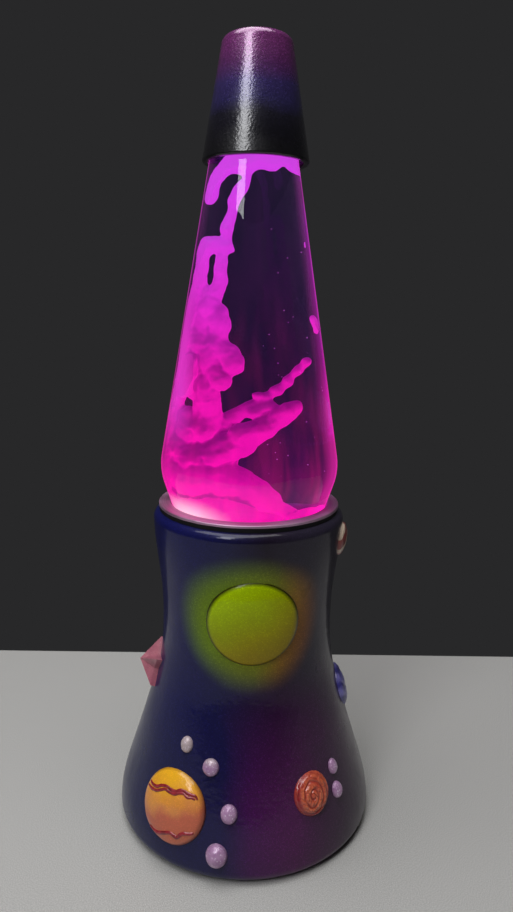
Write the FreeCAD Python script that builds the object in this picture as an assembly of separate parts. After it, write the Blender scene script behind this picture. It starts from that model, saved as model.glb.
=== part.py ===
import FreeCAD, Part
import math
import os

from FreeCAD import Placement, Rotation, Vector

# A 14.5 inch lava lamp on a hand-sculpted outer-space base.
#
# A spun aluminium core carries the lamp. A painted clay skin is moulded over it, with clay planets,
# moons and a star pressed on. A sealed bottle of dyed liquid and wax drops into the core's rim, a bulb
# stands in a screw socket under it, and a painted cone covers the bottle's crown cap.
#
# Lengths are millimetres. The origin is the centre of the footprint, +Z is up and the front faces -Y.
# Angles round the lamp are degrees from the front, and are positive towards +X.

FRONT_TO_BACK = Vector(0, 1, 0)
UP = Vector(0, 0, 1)
ORIGIN = Vector(0, 0, 0)

# Overall heights
LAMP_HEIGHT = 368.0
FOOT_STANDOUT = 1.0          # the rubber feet hold the skin's lower edge this far off the table
RIM_TOP = 162.4
MOVING_GAP = 0.3             # space between pieces on different moving bodies

# Flared outside of the base, from the foot's widest ring to the shoulder
FOOT_ROUND = 5.0
FLARE = [
    # (height, radius)
    (FOOT_STANDOUT + FOOT_ROUND, 64.4),
    (14.0, 63.5),
    (28.0, 59.6),
    (46.0, 53.8),
    (62.0, 48.9),
    (80.0, 44.0),
    (100.0, 42.0),
    (122.0, 42.6),
    (142.0, 45.1),
    (155.0, 46.1),
]
FLARE_STEPS = 26             # points that carry the flare over to a parallel curve
SHOULDER_ROUND = 4.2
SKIN_THICKNESS = 3.2
SKIN_LEDGE = 2.0             # the skin turns under the core by this much height

# Spun aluminium core
CORE_WALL = 1.0
NECK_RADIUS = 42.6
NECK_START = 151.0
RIM_RADIUS = 43.6
RIM_THICKNESS = 1.2
RIM_EDGE_ROUND = 0.5
GASKET_RADIUS = 43.25

# Bottom plate, its lugs, screws and feet
PLATE_RADIUS = 58.8
PLATE_LOW = 3.2
PLATE_THICKNESS = 1.2
PLATE_HIGH = PLATE_LOW + PLATE_THICKNESS
VENT_COUNT = 12
VENT_RADIUS = 2.6
VENT_CIRCLE = 36.0
LUG_COUNT = 3
LUG_WIDTH = 12.0
LUG_THICKNESS = 1.5
LUG_HEIGHT = 14.0
LUG_REACH = 12.0
SCREW_CIRCLE = 53.0
SCREW_RADIUS = 1.5
SCREW_HOLE = 1.7
SCREW_HEAD_RADIUS = 2.8
SCREW_HEAD_HEIGHT = 1.6
SCREW_TIP = 9.5
FOOT_COUNT = 3
FOOT_CIRCLE = 49.0
FOOT_RADIUS = 7.0
FOOT_STEM = 2.4
FOOT_BARB = 3.3
FOOT_BARB_HEIGHT = 2.4

# Socket bracket, a bent steel strap
BRACKET_TOP = 47.0
BRACKET_THICKNESS = 1.2
BRACKET_WIDTH = 16.0
BRACKET_HALF_SPAN = 17.0
BRACKET_FOOT_END = 30.0
BRACKET_BEND = 2.4
RIVET_OFFSET = 24.0
RIVET_RADIUS = 1.6
RIVET_HEAD = 3.0
RIVET_HEAD_HEIGHT = 1.0

# Intermediate screw socket and its nipple
NIPPLE_RADIUS = 4.85
NIPPLE_BORE = 3.4
NIPPLE_LOW = 38.0
NUT_ACROSS_FLATS = 14.0
NUT_HEIGHT = 4.0
SOCKET_RADIUS = 12.5
SOCKET_BORE = 9.3
SOCKET_FLOOR = 50.0
SOCKET_TOP = 75.0
SOCKET_FOOT_RADIUS = 10.0
SHELL_SHEET = 0.4            # sheet thickness of both brass screw shells
CONTACT_WIDTH = 4.0

# Bulb: a round-topped clear lamp 59 mm long and 35 mm wide on an intermediate screw base
BULB_TOP = 112.0
BULB_RADIUS = 17.5
BULB_WALL = 0.6
BULB_NECK = 7.2
BULB_NECK_START = 76.0
BULB_NECK_END = 64.0
THREAD_CREST = 8.2
THREAD_ROOT = 7.75
THREAD_PITCH = 2.8
THREAD_TURNS = 4
THREAD_START = 58.5
THREAD_ROUND = 0.6
CONTACT_TIP = 53.0

# Glass bottle
BOTTLE_LOW = 124.0
BOTTLE_FOOT_ROUND = 5.0
SEAT_RADIUS = 37.8           # of the bottle where it crosses the top of the rim
LOWER_SLOPE = 0.32           # radius gained per millimetre of height under the belly
UPPER_RADIUS = 40.9          # of the upper taper at UPPER_HEIGHT
UPPER_HEIGHT = 192.0
UPPER_SLOPE = 0.167          # radius lost per millimetre of height over the belly
BELLY_ROUND = 28.0
SHOULDER_HEIGHT = 337.0
THROAT_HEIGHT = 346.5
THROAT_RADIUS = 12.4
FINISH_RADIUS = 13.2
FINISH_LOW = 349.0
BOTTLE_TOP = 355.4
GLASS_WALL = 2.6
GLASS_FLOOR = 4.0
BORE_RADIUS = 8.0
FLUID_GAP = 0.2
FILL_LEVEL = 331.0

# Crown cap that seals the bottle
LINER_THICKNESS = 0.5
LINER_RADIUS = 11.8
CROWN_SHEET = 0.3
CROWN_TOP_RADIUS = 13.4
CROWN_SKIRT_RADIUS = 14.5
CROWN_LOW = 350.2
CROWN_FLUTES = 21
CROWN_FLUTE_RADIUS = 1.0

# Painted cone over the crown cap
CAP_LOW = 316.7
CAP_LOW_RADIUS = 24.1
CAP_TOP_RADIUS = 15.1
CAP_WALL = 1.0
CAP_TOP_ROUND = 3.6
CAP_RIM_THICKNESS = 1.4
CAP_RIM_INNER = 21.1
CAP_OFF_CENTRE = 0.8         # the cap sits loose, a little to the right

# Wire coil that spreads the heat in the wax
COIL_HEIGHT = 132.2
COIL_RING_RADIUS = 17.5
COIL_TUBE_RADIUS = 3.0

# Wax: a pool in the bottom, and blobs and strands that rise from it, as (x, y, z, radius)
POOL_TOP = 158.0
WAX_BLOBS = [
    (-13.0, -7.0, 168.0, 19.0),
    (-12.0, -6.0, 188.0, 15.0),
    (-13.0, -5.0, 208.0, 12.0),
    (-12.0, -4.0, 227.0, 10.5),
    (-13.5, -3.0, 245.0, 8.5),
]
WAX_STRANDS = [
    # (x, y, z, radius) at the lower end, then at the upper end
    ((-13.5, -3.0, 245.0, 6.5), (-11.0, -2.0, 285.0, 4.5)),
    ((-11.0, -2.0, 285.0, 4.4), (-2.0, -2.0, 316.0, 2.6)),
    ((-6.0, -9.0, 184.0, 11.0), (16.0, -11.0, 204.0, 5.5)),
    ((-4.0, -9.0, 198.0, 4.0), (19.0, -9.0, 226.0, 2.2)),
]
WAX_COLLAR = (0.0, 0.0, 323.0, 12.5)

# Cord inlet in the back of the foot
INLET_HEIGHT = 15.0
INLET_BORE = 3.2
INLET_HOLE = 4.6
INLET_FLANGE = 6.8
INLET_FLANGE_THICKNESS = 1.6

# Clay pressed on the skin. A dome is (name, angle, height, width, length, rise, sink), where width is
# round the lamp, length is up the skin, rise is how far it stands out, and sink is how far its middle
# plane lies under the skin.
PLANETS = [
    ("green_planet", 3.7, 116.5, 42.0, 41.0, 4.2, 5.4),
    ("orange_planet", -33.6, 29.4, 34.4, 33.6, 5.0, 2.2),
    ("swirl_planet", 33.0, 35.8, 19.0, 20.0, 3.8, 0.9),
    ("striped_planet", 79.0, 146.0, 16.2, 16.4, 2.8, 0.9),
    ("violet_planet", 91.0, 64.2, 22.0, 22.0, 3.4, 1.4),
]
MOONS = [
    # (angle, height, width, length)
    (-31.8, 56.9, 6.4, 7.6),
    (-16.9, 50.3, 7.9, 8.0),
    (-6.6, 32.2, 7.8, 8.7),
    (-10.9, 14.5, 10.1, 10.8),
    (48.9, 41.8, 5.6, 7.6),
    (48.4, 31.3, 6.3, 8.1),
    (158.0, 57.0, 7.0, 7.0),
    (171.0, 45.0, 8.2, 8.6),
    (-163.0, 52.0, 6.8, 7.2),
]
DOME_OVERSIZE = 1.03         # a dome's ellipsoid is this much wider than its outline
DOME_EDGE = 0.6              # upright edge at a dome's top and bottom
MOON_RISE = 0.42             # share of a moon's width that stands out
MOON_SINK = 0.5
STAR_ANGLE = -87.0
STAR_HEIGHT = 76.5
STAR_TIP_RADIUS = 12.8
STAR_NOTCH_RADIUS = 6.4
STAR_EDGE = 1.6
STAR_APEX = 9.6
STAR_ROOT = 6.0
STAR_TILT = 14.0


def rounded_outline(corners):
    """Closed wire in the XZ plane through (radius, height, rounding) corners."""
    edges = []
    count = len(corners)
    points = [Vector(r, 0, z) for r, z, _ in corners]
    starts = []
    ends = []
    for i, (_, _, rounding) in enumerate(corners):
        corner = points[i]
        before = (points[i - 1] - corner).normalize()
        after = (points[(i + 1) % count] - corner).normalize()
        if rounding <= 0:
            starts.append(corner)
            ends.append(corner)
            continue
        half_angle = before.getAngle(after) / 2
        setback = rounding / math.tan(half_angle)
        middle_line = (before + after).normalize()
        reach = rounding / math.sin(half_angle) - rounding
        starts.append(corner + before * setback)
        ends.append(corner + after * setback)
        edges.append(Part.Arc(starts[i], corner + middle_line * reach, ends[i]).toShape())
    for i in range(count):
        line_start = ends[i]
        line_end = starts[(i + 1) % count]
        if line_start.distanceToPoint(line_end) > 1e-6:
            edges.append(Part.LineSegment(line_start, line_end).toShape())
    return Part.Wire(Part.__sortEdges__(edges))


def revolved(wire):
    """Solid of revolution of a closed wire about the lamp's axis."""
    return Part.Face(wire).revolve(ORIGIN, UP, 360)


def turned(corners):
    """Solid of revolution of an outline with rounded corners."""
    return revolved(rounded_outline(corners))


def plain(points):
    """Corners with no rounding from (radius, height) points."""
    return [(r, z, 0) for r, z in points]


def rod(radius, low, high, x=0.0, y=0.0):
    """Upright cylinder."""
    return Part.makeCylinder(radius, high - low, Vector(x, y, low))


def around(shape, count, first_angle=0.0):
    """Copies of a shape, evenly spaced round the axis."""
    copies = []
    for i in range(count):
        copy = shape.copy()
        copy.rotate(ORIGIN, UP, first_angle + i * 360.0 / count)
        copies.append(copy)
    return copies


def slab(x_low, x_high, y_low, y_high, z_low, z_high):
    """Box between two corners."""
    return Part.makeBox(x_high - x_low, y_high - y_low, z_high - z_low, Vector(x_low, y_low, z_low))


def save(name, *solids):
    """Write one node, which is one solid or a group of separate ones."""
    shape = solids[0] if len(solids) == 1 else Part.makeCompound(list(solids))
    if not shape.isValid():
        raise ValueError(name + " isn't a valid shape")
    shape.exportStep("parts/" + name + ".step")


# ---------------------------------------------------------------- the base's flare

def flare_curve():
    """The skin's outside as a curve whose parameter is the height."""
    curve = Part.BSplineCurve()
    points = [Vector(r, 0, z) for z, r in FLARE]
    curve.interpolate(Points=points, Parameters=[z for z, _ in FLARE])
    return curve


FLARE_CURVE = flare_curve()
FLARE_LOW = FLARE[0][0]
FLARE_HIGH = FLARE[-1][0]


def skin_normal(height):
    """Outward normal of the flare at a height, in the XZ plane."""
    tangent = FLARE_CURVE.tangent(height)[0]
    return Vector(tangent.z, 0, -tangent.x)


def parallel_flare(inset, neck_radius):
    """The flare moved inwards, which ends in the neck's upright wall."""
    top = NECK_START - inset / 2
    step = (top - FLARE_LOW) / FLARE_STEPS
    points = []
    for i in range(FLARE_STEPS):
        height = FLARE_LOW + i * step
        points.append(FLARE_CURVE.value(height) - skin_normal(height) * inset)
    points.append(Vector(neck_radius, 0, NECK_START))
    curve = Part.BSplineCurve()
    curve.interpolate(Points=points)
    return curve


CORE_OUTSIDE = parallel_flare(SKIN_THICKNESS, NECK_RADIUS)
CORE_INSIDE = parallel_flare(SKIN_THICKNESS + CORE_WALL, NECK_RADIUS - CORE_WALL)


def polyline(*points):
    """Straight edges through (radius, height) points."""
    corners = [Vector(r, 0, z) for r, z in points]
    return [Part.LineSegment(a, b).toShape() for a, b in zip(corners, corners[1:])]


def ends(curve):
    """First and last point of a curve as (radius, height)."""
    first = curve.value(curve.FirstParameter)
    last = curve.value(curve.LastParameter)
    return (first.x, first.z), (last.x, last.z)


def foot_arc():
    """Rounded lower edge of the skin."""
    radius = FLARE[0][1]
    centre = Vector(radius - FOOT_ROUND, 0, FLARE_LOW)
    diagonal = Vector(1, 0, -1).normalize() * FOOT_ROUND
    return Part.Arc(Vector(radius - FOOT_ROUND, 0, FOOT_STANDOUT), centre + diagonal,
                    Vector(radius, 0, FLARE_LOW)).toShape()


def shoulder_arc(inner_radius):
    """Rounded upper edge of the skin, from the flare to an inner radius, and the height it ends at."""
    radius = FLARE[-1][1]
    centre = Vector(radius - SHOULDER_ROUND, 0, FLARE_HIGH)
    end_angle = math.acos((inner_radius - centre.x) / SHOULDER_ROUND)
    middle_angle = end_angle / 2
    middle = centre + Vector(math.cos(middle_angle), 0, math.sin(middle_angle)) * SHOULDER_ROUND
    end = centre + Vector(math.cos(end_angle), 0, math.sin(end_angle)) * SHOULDER_ROUND
    return Part.Arc(Vector(radius, 0, FLARE_HIGH), middle, end).toShape(), end.z


def filled_base():
    """The whole base as one plug, used to trim what sits on the skin."""
    arc, top = shoulder_arc(NECK_RADIUS)
    low = FOOT_STANDOUT
    foot_inner = FLARE[0][1] - FOOT_ROUND
    edges = [foot_arc(), FLARE_CURVE.toShape(), arc]
    edges += polyline((NECK_RADIUS, top), (0, top), (0, low), (foot_inner, low))
    return revolved(Part.Wire(edges))


def base_skin():
    """Clay skin that covers the core and turns under its lower edge."""
    arc, top = shoulder_arc(NECK_RADIUS)
    low = FOOT_STANDOUT
    foot_inner = FLARE[0][1] - FOOT_ROUND
    inner_start, _ = ends(CORE_OUTSIDE)
    edges = [foot_arc(), FLARE_CURVE.toShape(), arc]
    edges += polyline((NECK_RADIUS, top), (NECK_RADIUS, NECK_START))
    edges.append(CORE_OUTSIDE.toShape())
    edges += polyline(inner_start, (inner_start[0], low + SKIN_LEDGE), (foot_inner, low + SKIN_LEDGE),
                      (foot_inner, low))
    return revolved(Part.Wire(Part.__sortEdges__(edges)))


def base_core():
    """Spun aluminium shell with an inward rim that the bottle's taper sits in."""
    low = FOOT_STANDOUT + SKIN_LEDGE
    rim_low = RIM_TOP - RIM_THICKNESS
    neck_inner = NECK_RADIUS - CORE_WALL
    seat = SEAT_RADIUS + MOVING_GAP
    seat_low = seat - LOWER_SLOPE * RIM_THICKNESS
    outer_start, _ = ends(CORE_OUTSIDE)
    inner_start, _ = ends(CORE_INSIDE)
    edges = [CORE_OUTSIDE.toShape(), CORE_INSIDE.toShape()]
    edges += polyline((neck_inner, NECK_START), (neck_inner, rim_low), (seat_low, rim_low), (seat, RIM_TOP),
                      (RIM_RADIUS - RIM_EDGE_ROUND, RIM_TOP))
    corner = Vector(RIM_RADIUS - RIM_EDGE_ROUND, 0, RIM_TOP - RIM_EDGE_ROUND)
    diagonal = Vector(1, 0, 1).normalize() * RIM_EDGE_ROUND
    edges.append(Part.Arc(corner + UP * RIM_EDGE_ROUND, corner + diagonal,
                          corner + Vector(RIM_EDGE_ROUND, 0, 0)).toShape())
    edges += polyline((RIM_RADIUS, RIM_TOP - RIM_EDGE_ROUND), (RIM_RADIUS, rim_low), (NECK_RADIUS, rim_low),
                      (NECK_RADIUS, NECK_START))
    edges += polyline(outer_start, (outer_start[0], low), (inner_start[0], low), inner_start)
    return revolved(Part.Wire(Part.__sortEdges__(edges)))


def inlet_hole():
    """Hole through the wall for the cord inlet."""
    return Part.makeCylinder(INLET_HOLE, FLARE[0][1], Vector(0, PLATE_RADIUS / 2, INLET_HEIGHT), FRONT_TO_BACK)


def rim_gasket():
    """Black rubber ring in the groove between the skin and the rim."""
    _, skin_top = shoulder_arc(NECK_RADIUS)
    rim_low = RIM_TOP - RIM_THICKNESS
    return rod(GASKET_RADIUS, skin_top, rim_low).cut(rod(NECK_RADIUS, skin_top, rim_low))


def inlet_grommet(skin, core):
    """Rubber grommet, moulded to the wall on both sides."""
    outside = FLARE_CURVE.value(INLET_HEIGHT).x
    inside = outside - SKIN_THICKNESS - CORE_WALL
    back = inside - INLET_FLANGE_THICKNESS
    front = outside + INLET_FLANGE_THICKNESS
    base = Vector(0, back, INLET_HEIGHT)
    flanges = Part.makeCylinder(INLET_FLANGE, front - back, base, FRONT_TO_BACK)
    collar = flanges.cut(skin).cut(core)
    bore = Part.makeCylinder(INLET_BORE, front - back, base, FRONT_TO_BACK)
    return collar.cut(bore)


# ---------------------------------------------------------------- bottom plate and feet

def screw_places():
    return around(rod(SCREW_HOLE, 0, SCREW_TIP, SCREW_CIRCLE), LUG_COUNT, 30.0)


def bottom_plate():
    """Vented steel disc that closes the base."""
    plate = rod(PLATE_RADIUS, PLATE_LOW, PLATE_HIGH)
    vents = around(rod(VENT_RADIUS, PLATE_LOW, PLATE_HIGH, VENT_CIRCLE), VENT_COUNT, 15.0)
    stems = around(rod(FOOT_STEM, PLATE_LOW, PLATE_HIGH, FOOT_CIRCLE), FOOT_COUNT, 90.0)
    rivets = [rod(RIVET_RADIUS, PLATE_LOW, PLATE_HIGH, side * RIVET_OFFSET) for side in (-1, 1)]
    return plate.cut(vents + stems + rivets + screw_places())


def plate_lugs():
    """Bent lugs spot-welded inside the core, which the plate is screwed to."""
    inner_start, _ = ends(CORE_INSIDE)
    wall = inner_start[0]
    shelf = slab(wall - LUG_REACH, wall, -LUG_WIDTH / 2, LUG_WIDTH / 2, PLATE_HIGH,
                 PLATE_HIGH + LUG_THICKNESS)
    upright = slab(wall - LUG_REACH, wall + LUG_REACH, -LUG_WIDTH / 2, LUG_WIDTH / 2, PLATE_HIGH,
                   PLATE_HIGH + LUG_HEIGHT)
    lining = core_lining(0).cut(core_lining(LUG_THICKNESS))
    lug = shelf.common(core_lining(0)).fuse(upright.common(lining)).removeSplitter()
    lug = lug.cut(rod(SCREW_RADIUS, 0, PLATE_HIGH + LUG_HEIGHT, SCREW_CIRCLE))
    return around(lug, LUG_COUNT, 30.0)


def core_lining(inset):
    """The space inside the core's foot, up to the top of the lugs, less an inset all round."""
    inner_start, _ = ends(CORE_INSIDE)
    edges = [CORE_INSIDE.toShape()]
    edges += polyline((NECK_RADIUS - CORE_WALL, NECK_START), (0, NECK_START), (0, PLATE_LOW),
                      (inner_start[0], PLATE_LOW), inner_start)
    space = revolved(Part.Wire(Part.__sortEdges__(edges)))
    if inset == 0:
        return space
    return rod(inner_start[0] - inset, 0, PLATE_LOW + LUG_HEIGHT * 2).common(lowered(space, inset))


def lowered(space, inset):
    """A flared space shifted down by the height that moves its slanted wall in by an inset."""
    slope = abs(skin_normal(INLET_HEIGHT).x / skin_normal(INLET_HEIGHT).z)
    shifted = space.copy()
    shifted.translate(Vector(0, 0, -inset * slope))
    return shifted


def plate_screws():
    """Pan-head screws that hold the plate to its lugs."""
    head = turned([
        (0, PLATE_LOW - SCREW_HEAD_HEIGHT, 0),
        (SCREW_HEAD_RADIUS, PLATE_LOW - SCREW_HEAD_HEIGHT, 0.9),
        (SCREW_HEAD_RADIUS, PLATE_LOW, 0),
        (0, PLATE_LOW, 0),
    ])
    screw = head.fuse(rod(SCREW_RADIUS, PLATE_LOW, SCREW_TIP)).removeSplitter()
    slot_low = PLATE_LOW - SCREW_HEAD_HEIGHT
    for angle in (0, 90):
        slot = slab(-1.6, 1.6, -0.35, 0.35, slot_low, slot_low + 0.9)
        slot.rotate(ORIGIN, UP, angle)
        screw = screw.cut(slot)
    screw.translate(Vector(SCREW_CIRCLE, 0, 0))
    return around(screw, LUG_COUNT, 30.0)


def rubber_feet():
    """Push-in rubber feet, each with a stem and a barb through the plate."""
    foot = turned([
        (0, 0, 0),
        (FOOT_RADIUS - 0.6, 0, 0.8),
        (FOOT_RADIUS, PLATE_LOW, 0),
        (FOOT_STEM, PLATE_LOW, 0),
        (FOOT_STEM, PLATE_HIGH, 0),
        (FOOT_BARB, PLATE_HIGH, 0),
        (FOOT_STEM - 0.6, PLATE_HIGH + FOOT_BARB_HEIGHT, 0.5),
        (0, PLATE_HIGH + FOOT_BARB_HEIGHT, 0),
    ])
    foot.translate(Vector(FOOT_CIRCLE, 0, 0))
    return around(foot, FOOT_COUNT, 90.0)


# ---------------------------------------------------------------- socket

def socket_bracket():
    """Hat-shaped strap that stands on the plate and lifts the socket."""
    t = BRACKET_THICKNESS
    foot_top = PLATE_HIGH + t
    outside = BRACKET_HALF_SPAN
    outline = rounded_outline([
        (-BRACKET_FOOT_END, PLATE_HIGH, 0),
        (-outside + t, PLATE_HIGH, BRACKET_BEND),
        (-outside + t, BRACKET_TOP - t, BRACKET_BEND - t),
        (outside - t, BRACKET_TOP - t, BRACKET_BEND - t),
        (outside - t, PLATE_HIGH, BRACKET_BEND),
        (BRACKET_FOOT_END, PLATE_HIGH, 0),
        (BRACKET_FOOT_END, foot_top, 0),
        (outside, foot_top, BRACKET_BEND - t),
        (outside, BRACKET_TOP, BRACKET_BEND),
        (-outside, BRACKET_TOP, BRACKET_BEND),
        (-outside, foot_top, BRACKET_BEND - t),
        (-BRACKET_FOOT_END, foot_top, 0),
    ])
    strap = Part.Face(outline).extrude(Vector(0, BRACKET_WIDTH, 0))
    strap.translate(Vector(0, -BRACKET_WIDTH / 2, 0))
    strap = strap.cut(rod(NIPPLE_RADIUS, BRACKET_TOP - 2 * t, BRACKET_TOP + t))
    for side in (-1, 1):
        strap = strap.cut(rod(RIVET_RADIUS, PLATE_LOW, foot_top + t, side * RIVET_OFFSET))
    return strap


def bracket_rivets():
    """Two rivets through the bracket's feet and the plate."""
    low = PLATE_LOW
    high = PLATE_HIGH + BRACKET_THICKNESS
    rivet = turned([
        (0, low - RIVET_HEAD_HEIGHT, 0),
        (RIVET_HEAD, low - RIVET_HEAD_HEIGHT, 0.6),
        (RIVET_HEAD, low, 0),
        (RIVET_RADIUS, low, 0),
        (RIVET_RADIUS, high, 0),
        (RIVET_HEAD, high, 0),
        (RIVET_HEAD, high + RIVET_HEAD_HEIGHT, 0.6),
        (0, high + RIVET_HEAD_HEIGHT, 0),
    ])
    rivet.translate(Vector(RIVET_OFFSET, 0, 0))
    return around(rivet, 2)


def socket_nipple():
    """Threaded tube that holds the socket to the bracket and lets the leads through."""
    return rod(NIPPLE_RADIUS, NIPPLE_LOW, SOCKET_FLOOR).cut(rod(NIPPLE_BORE, NIPPLE_LOW, SOCKET_FLOOR))


def nipple_nut():
    """Hexagon nut under the bracket's top."""
    high = BRACKET_TOP - BRACKET_THICKNESS
    corner_radius = NUT_ACROSS_FLATS / math.sqrt(3)
    corners = [Vector(corner_radius * math.cos(math.radians(60 * i)),
                      corner_radius * math.sin(math.radians(60 * i)), high - NUT_HEIGHT) for i in range(7)]
    hexagon = Part.Face(Part.makePolygon(corners)).extrude(UP * NUT_HEIGHT)
    return hexagon.cut(rod(NIPPLE_RADIUS, high - NUT_HEIGHT, high))


def socket_body():
    """Moulded phenolic cup."""
    return turned([
        (NIPPLE_RADIUS, BRACKET_TOP, 0),
        (SOCKET_FOOT_RADIUS, BRACKET_TOP, 0.5),
        (SOCKET_RADIUS, SOCKET_FLOOR + 4, 1.0),
        (SOCKET_RADIUS, SOCKET_TOP, 1.2),
        (SOCKET_BORE, SOCKET_TOP, 0.4),
        (SOCKET_BORE, SOCKET_FLOOR, 0),
        (NIPPLE_RADIUS, SOCKET_FLOOR, 0),
    ])


def thread_corners(offset):
    """Rounded thread profile from the bottom up, with an offset that moves it outwards."""
    corners = []
    for turn in range(THREAD_TURNS):
        low = THREAD_START + turn * THREAD_PITCH
        corners.append((THREAD_ROOT + offset, low, THREAD_ROUND))
        corners.append((THREAD_CREST + offset, low + THREAD_PITCH / 2, THREAD_ROUND))
    top = THREAD_START + THREAD_TURNS * THREAD_PITCH
    corners.append((THREAD_ROOT + offset, top, THREAD_ROUND))
    return corners


def thread_sheet(offset, low, high):
    """Sheet-metal screw shell with its inner face at an offset from the bulb's thread."""
    outer_offset = offset + SHELL_SHEET
    inner = [(THREAD_ROOT + offset, low, 0)] + thread_corners(offset) + [(THREAD_ROOT + offset, high, 0)]
    outer = [(THREAD_ROOT + outer_offset, low, 0)] + thread_corners(outer_offset)
    outer.append((THREAD_ROOT + outer_offset, high, 0))
    return turned(inner + outer[::-1])


def socket_thread():
    """Brass screw shell inside the socket."""
    return thread_sheet(MOVING_GAP, THREAD_START - 1.5, THREAD_START + THREAD_TURNS * THREAD_PITCH + 1.5)


def socket_contact():
    """Brass strip on the socket's floor, bent back into a tongue that touches the bulb's tip."""
    sheet = 0.4
    floor = SOCKET_FLOOR
    tip = CONTACT_TIP - MOVING_GAP
    outline = rounded_outline(plain([
        (-7.5, floor),
        (5.0, floor),
        (1.5, tip),
        (-3.0, tip - 0.8),
        (-3.0, tip - 0.8 - sheet),
        (1.3, tip - sheet),
        (4.4, floor + sheet),
        (-7.5, floor + sheet),
    ]))
    strip = Part.Face(outline).extrude(Vector(0, CONTACT_WIDTH, 0))
    strip.translate(Vector(0, -CONTACT_WIDTH / 2, 0))
    return strip


# ---------------------------------------------------------------- bulb

def bulb_envelope():
    """Blown clear glass, closed at the neck by the stem."""
    def profile(inset):
        centre_height = BULB_TOP - BULB_RADIUS
        radius = BULB_RADIUS - inset
        neck = BULB_NECK - inset
        join_angle = math.radians(-32.0)
        join = Vector(radius * math.cos(join_angle), 0, centre_height + radius * math.sin(join_angle))
        tangent = Vector(-math.sin(join_angle), 0, math.cos(join_angle)) * -1
        dome = Part.Arc(Vector(0, 0, centre_height + radius),
                        Vector(radius * math.cos(0.5), 0, centre_height + radius * math.sin(0.5)), join)
        blend = Part.BSplineCurve()
        blend.interpolate(Points=[join, Vector(neck, 0, BULB_NECK_START)], InitialTangent=tangent,
                          FinalTangent=Vector(0, 0, -1))
        low = BULB_NECK_END + inset
        edges = [dome.toShape(), blend.toShape()]
        edges += polyline((neck, BULB_NECK_START), (neck, low), (0, low), (0, centre_height + radius))
        return revolved(Part.Wire(Part.__sortEdges__(edges)))

    return profile(0).cut(profile(BULB_WALL))


def bulb_screw_shell():
    """Nickel-plated brass screw shell, crimped on the bulb's neck."""
    top = THREAD_START + THREAD_TURNS * THREAD_PITCH
    return thread_sheet(-SHELL_SHEET, THREAD_START - 1.0, top + 2.5)


def bulb_insulator():
    """Black glass disc that closes the screw shell round the contact."""
    low = THREAD_START - 1.0
    return turned([
        (0, CONTACT_TIP + 1.4, 0),
        (3.4, CONTACT_TIP + 1.4, 0.5),
        (THREAD_ROOT - SHELL_SHEET, low - 0.8, 0.4),
        (THREAD_ROOT - SHELL_SHEET, low + 1.6, 0),
        (0, low + 1.6, 0),
    ])


def bulb_contact():
    """Domed solder tip."""
    return turned([
        (0, CONTACT_TIP, 0),
        (2.8, CONTACT_TIP, 1.0),
        (2.8, CONTACT_TIP + 1.4, 0),
        (0, CONTACT_TIP + 1.4, 0),
    ])


def bulb_stem():
    """Glass stem on the floor of the neck, with a pinch that grips the two support wires."""
    low = BULB_NECK_END + BULB_WALL
    return turned([
        (0, low, 0),
        (4.6, low, 0),
        (2.6, low + 6, 1.0),
        (1.5, low + 16, 0.8),
        (0, low + 16, 0),
    ])


def bulb_filament():
    """Two support wires with the filament hung between them in an arc."""
    low = BULB_NECK_END + BULB_WALL + 16
    spread = 7.0
    top = BULB_TOP - BULB_RADIUS + 2
    wire_radius = 0.3
    path = [Part.Arc(Vector(-spread, 0, top), Vector(0, 0, top + 4), Vector(spread, 0, top)).toShape()]
    filament = Part.Wire(path).makePipeShell([Part.Wire(Part.makeCircle(
        wire_radius, Vector(-spread, 0, top), path[0].tangentAt(path[0].FirstParameter)))], True, False)
    solid = filament
    for side in (-1, 1):
        foot = Vector(side * 0.8, 0, low)
        tip = Vector(side * spread, 0, top)
        run = tip - foot
        solid = solid.fuse(Part.makeCylinder(wire_radius, run.Length, foot, run))
        solid = solid.fuse(Part.makeSphere(2 * wire_radius, tip))
    base = rod(1.2, low, low + 0.8)
    return solid.fuse(base).removeSplitter()


# ---------------------------------------------------------------- bottle and what it holds

def bottle_radius(height):
    """Outside radius on the bottle's lower taper."""
    return SEAT_RADIUS + LOWER_SLOPE * (height - RIM_TOP)


def belly_corner(inset=0.0):
    """Where the two tapers would meet if the belly weren't rounded, moved inwards by an inset."""
    lower_shift = inset * math.sqrt(1 + LOWER_SLOPE ** 2)
    upper_shift = inset * math.sqrt(1 + UPPER_SLOPE ** 2)
    lower_at_zero = SEAT_RADIUS - LOWER_SLOPE * RIM_TOP - lower_shift
    upper_at_zero = UPPER_RADIUS + UPPER_SLOPE * UPPER_HEIGHT - upper_shift
    height = (upper_at_zero - lower_at_zero) / (LOWER_SLOPE + UPPER_SLOPE)
    return lower_at_zero + LOWER_SLOPE * height, height


def taper_radius(height, inset):
    """Radius of the upper taper, moved inwards by an inset."""
    shift = inset * math.sqrt(1 + UPPER_SLOPE ** 2)
    return UPPER_RADIUS - UPPER_SLOPE * (height - UPPER_HEIGHT) - shift


def bottle_side(inset, floor):
    """Corners of the bottle's side from the floor's edge to its shoulder, moved inwards."""
    belly_radius, belly_height = belly_corner(inset)
    lower_shift = inset * math.sqrt(1 + LOWER_SLOPE ** 2)
    return [
        (bottle_radius(floor) - lower_shift, floor, BOTTLE_FOOT_ROUND - inset / 2),
        (belly_radius, belly_height, BELLY_ROUND - inset),
    ]


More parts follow.
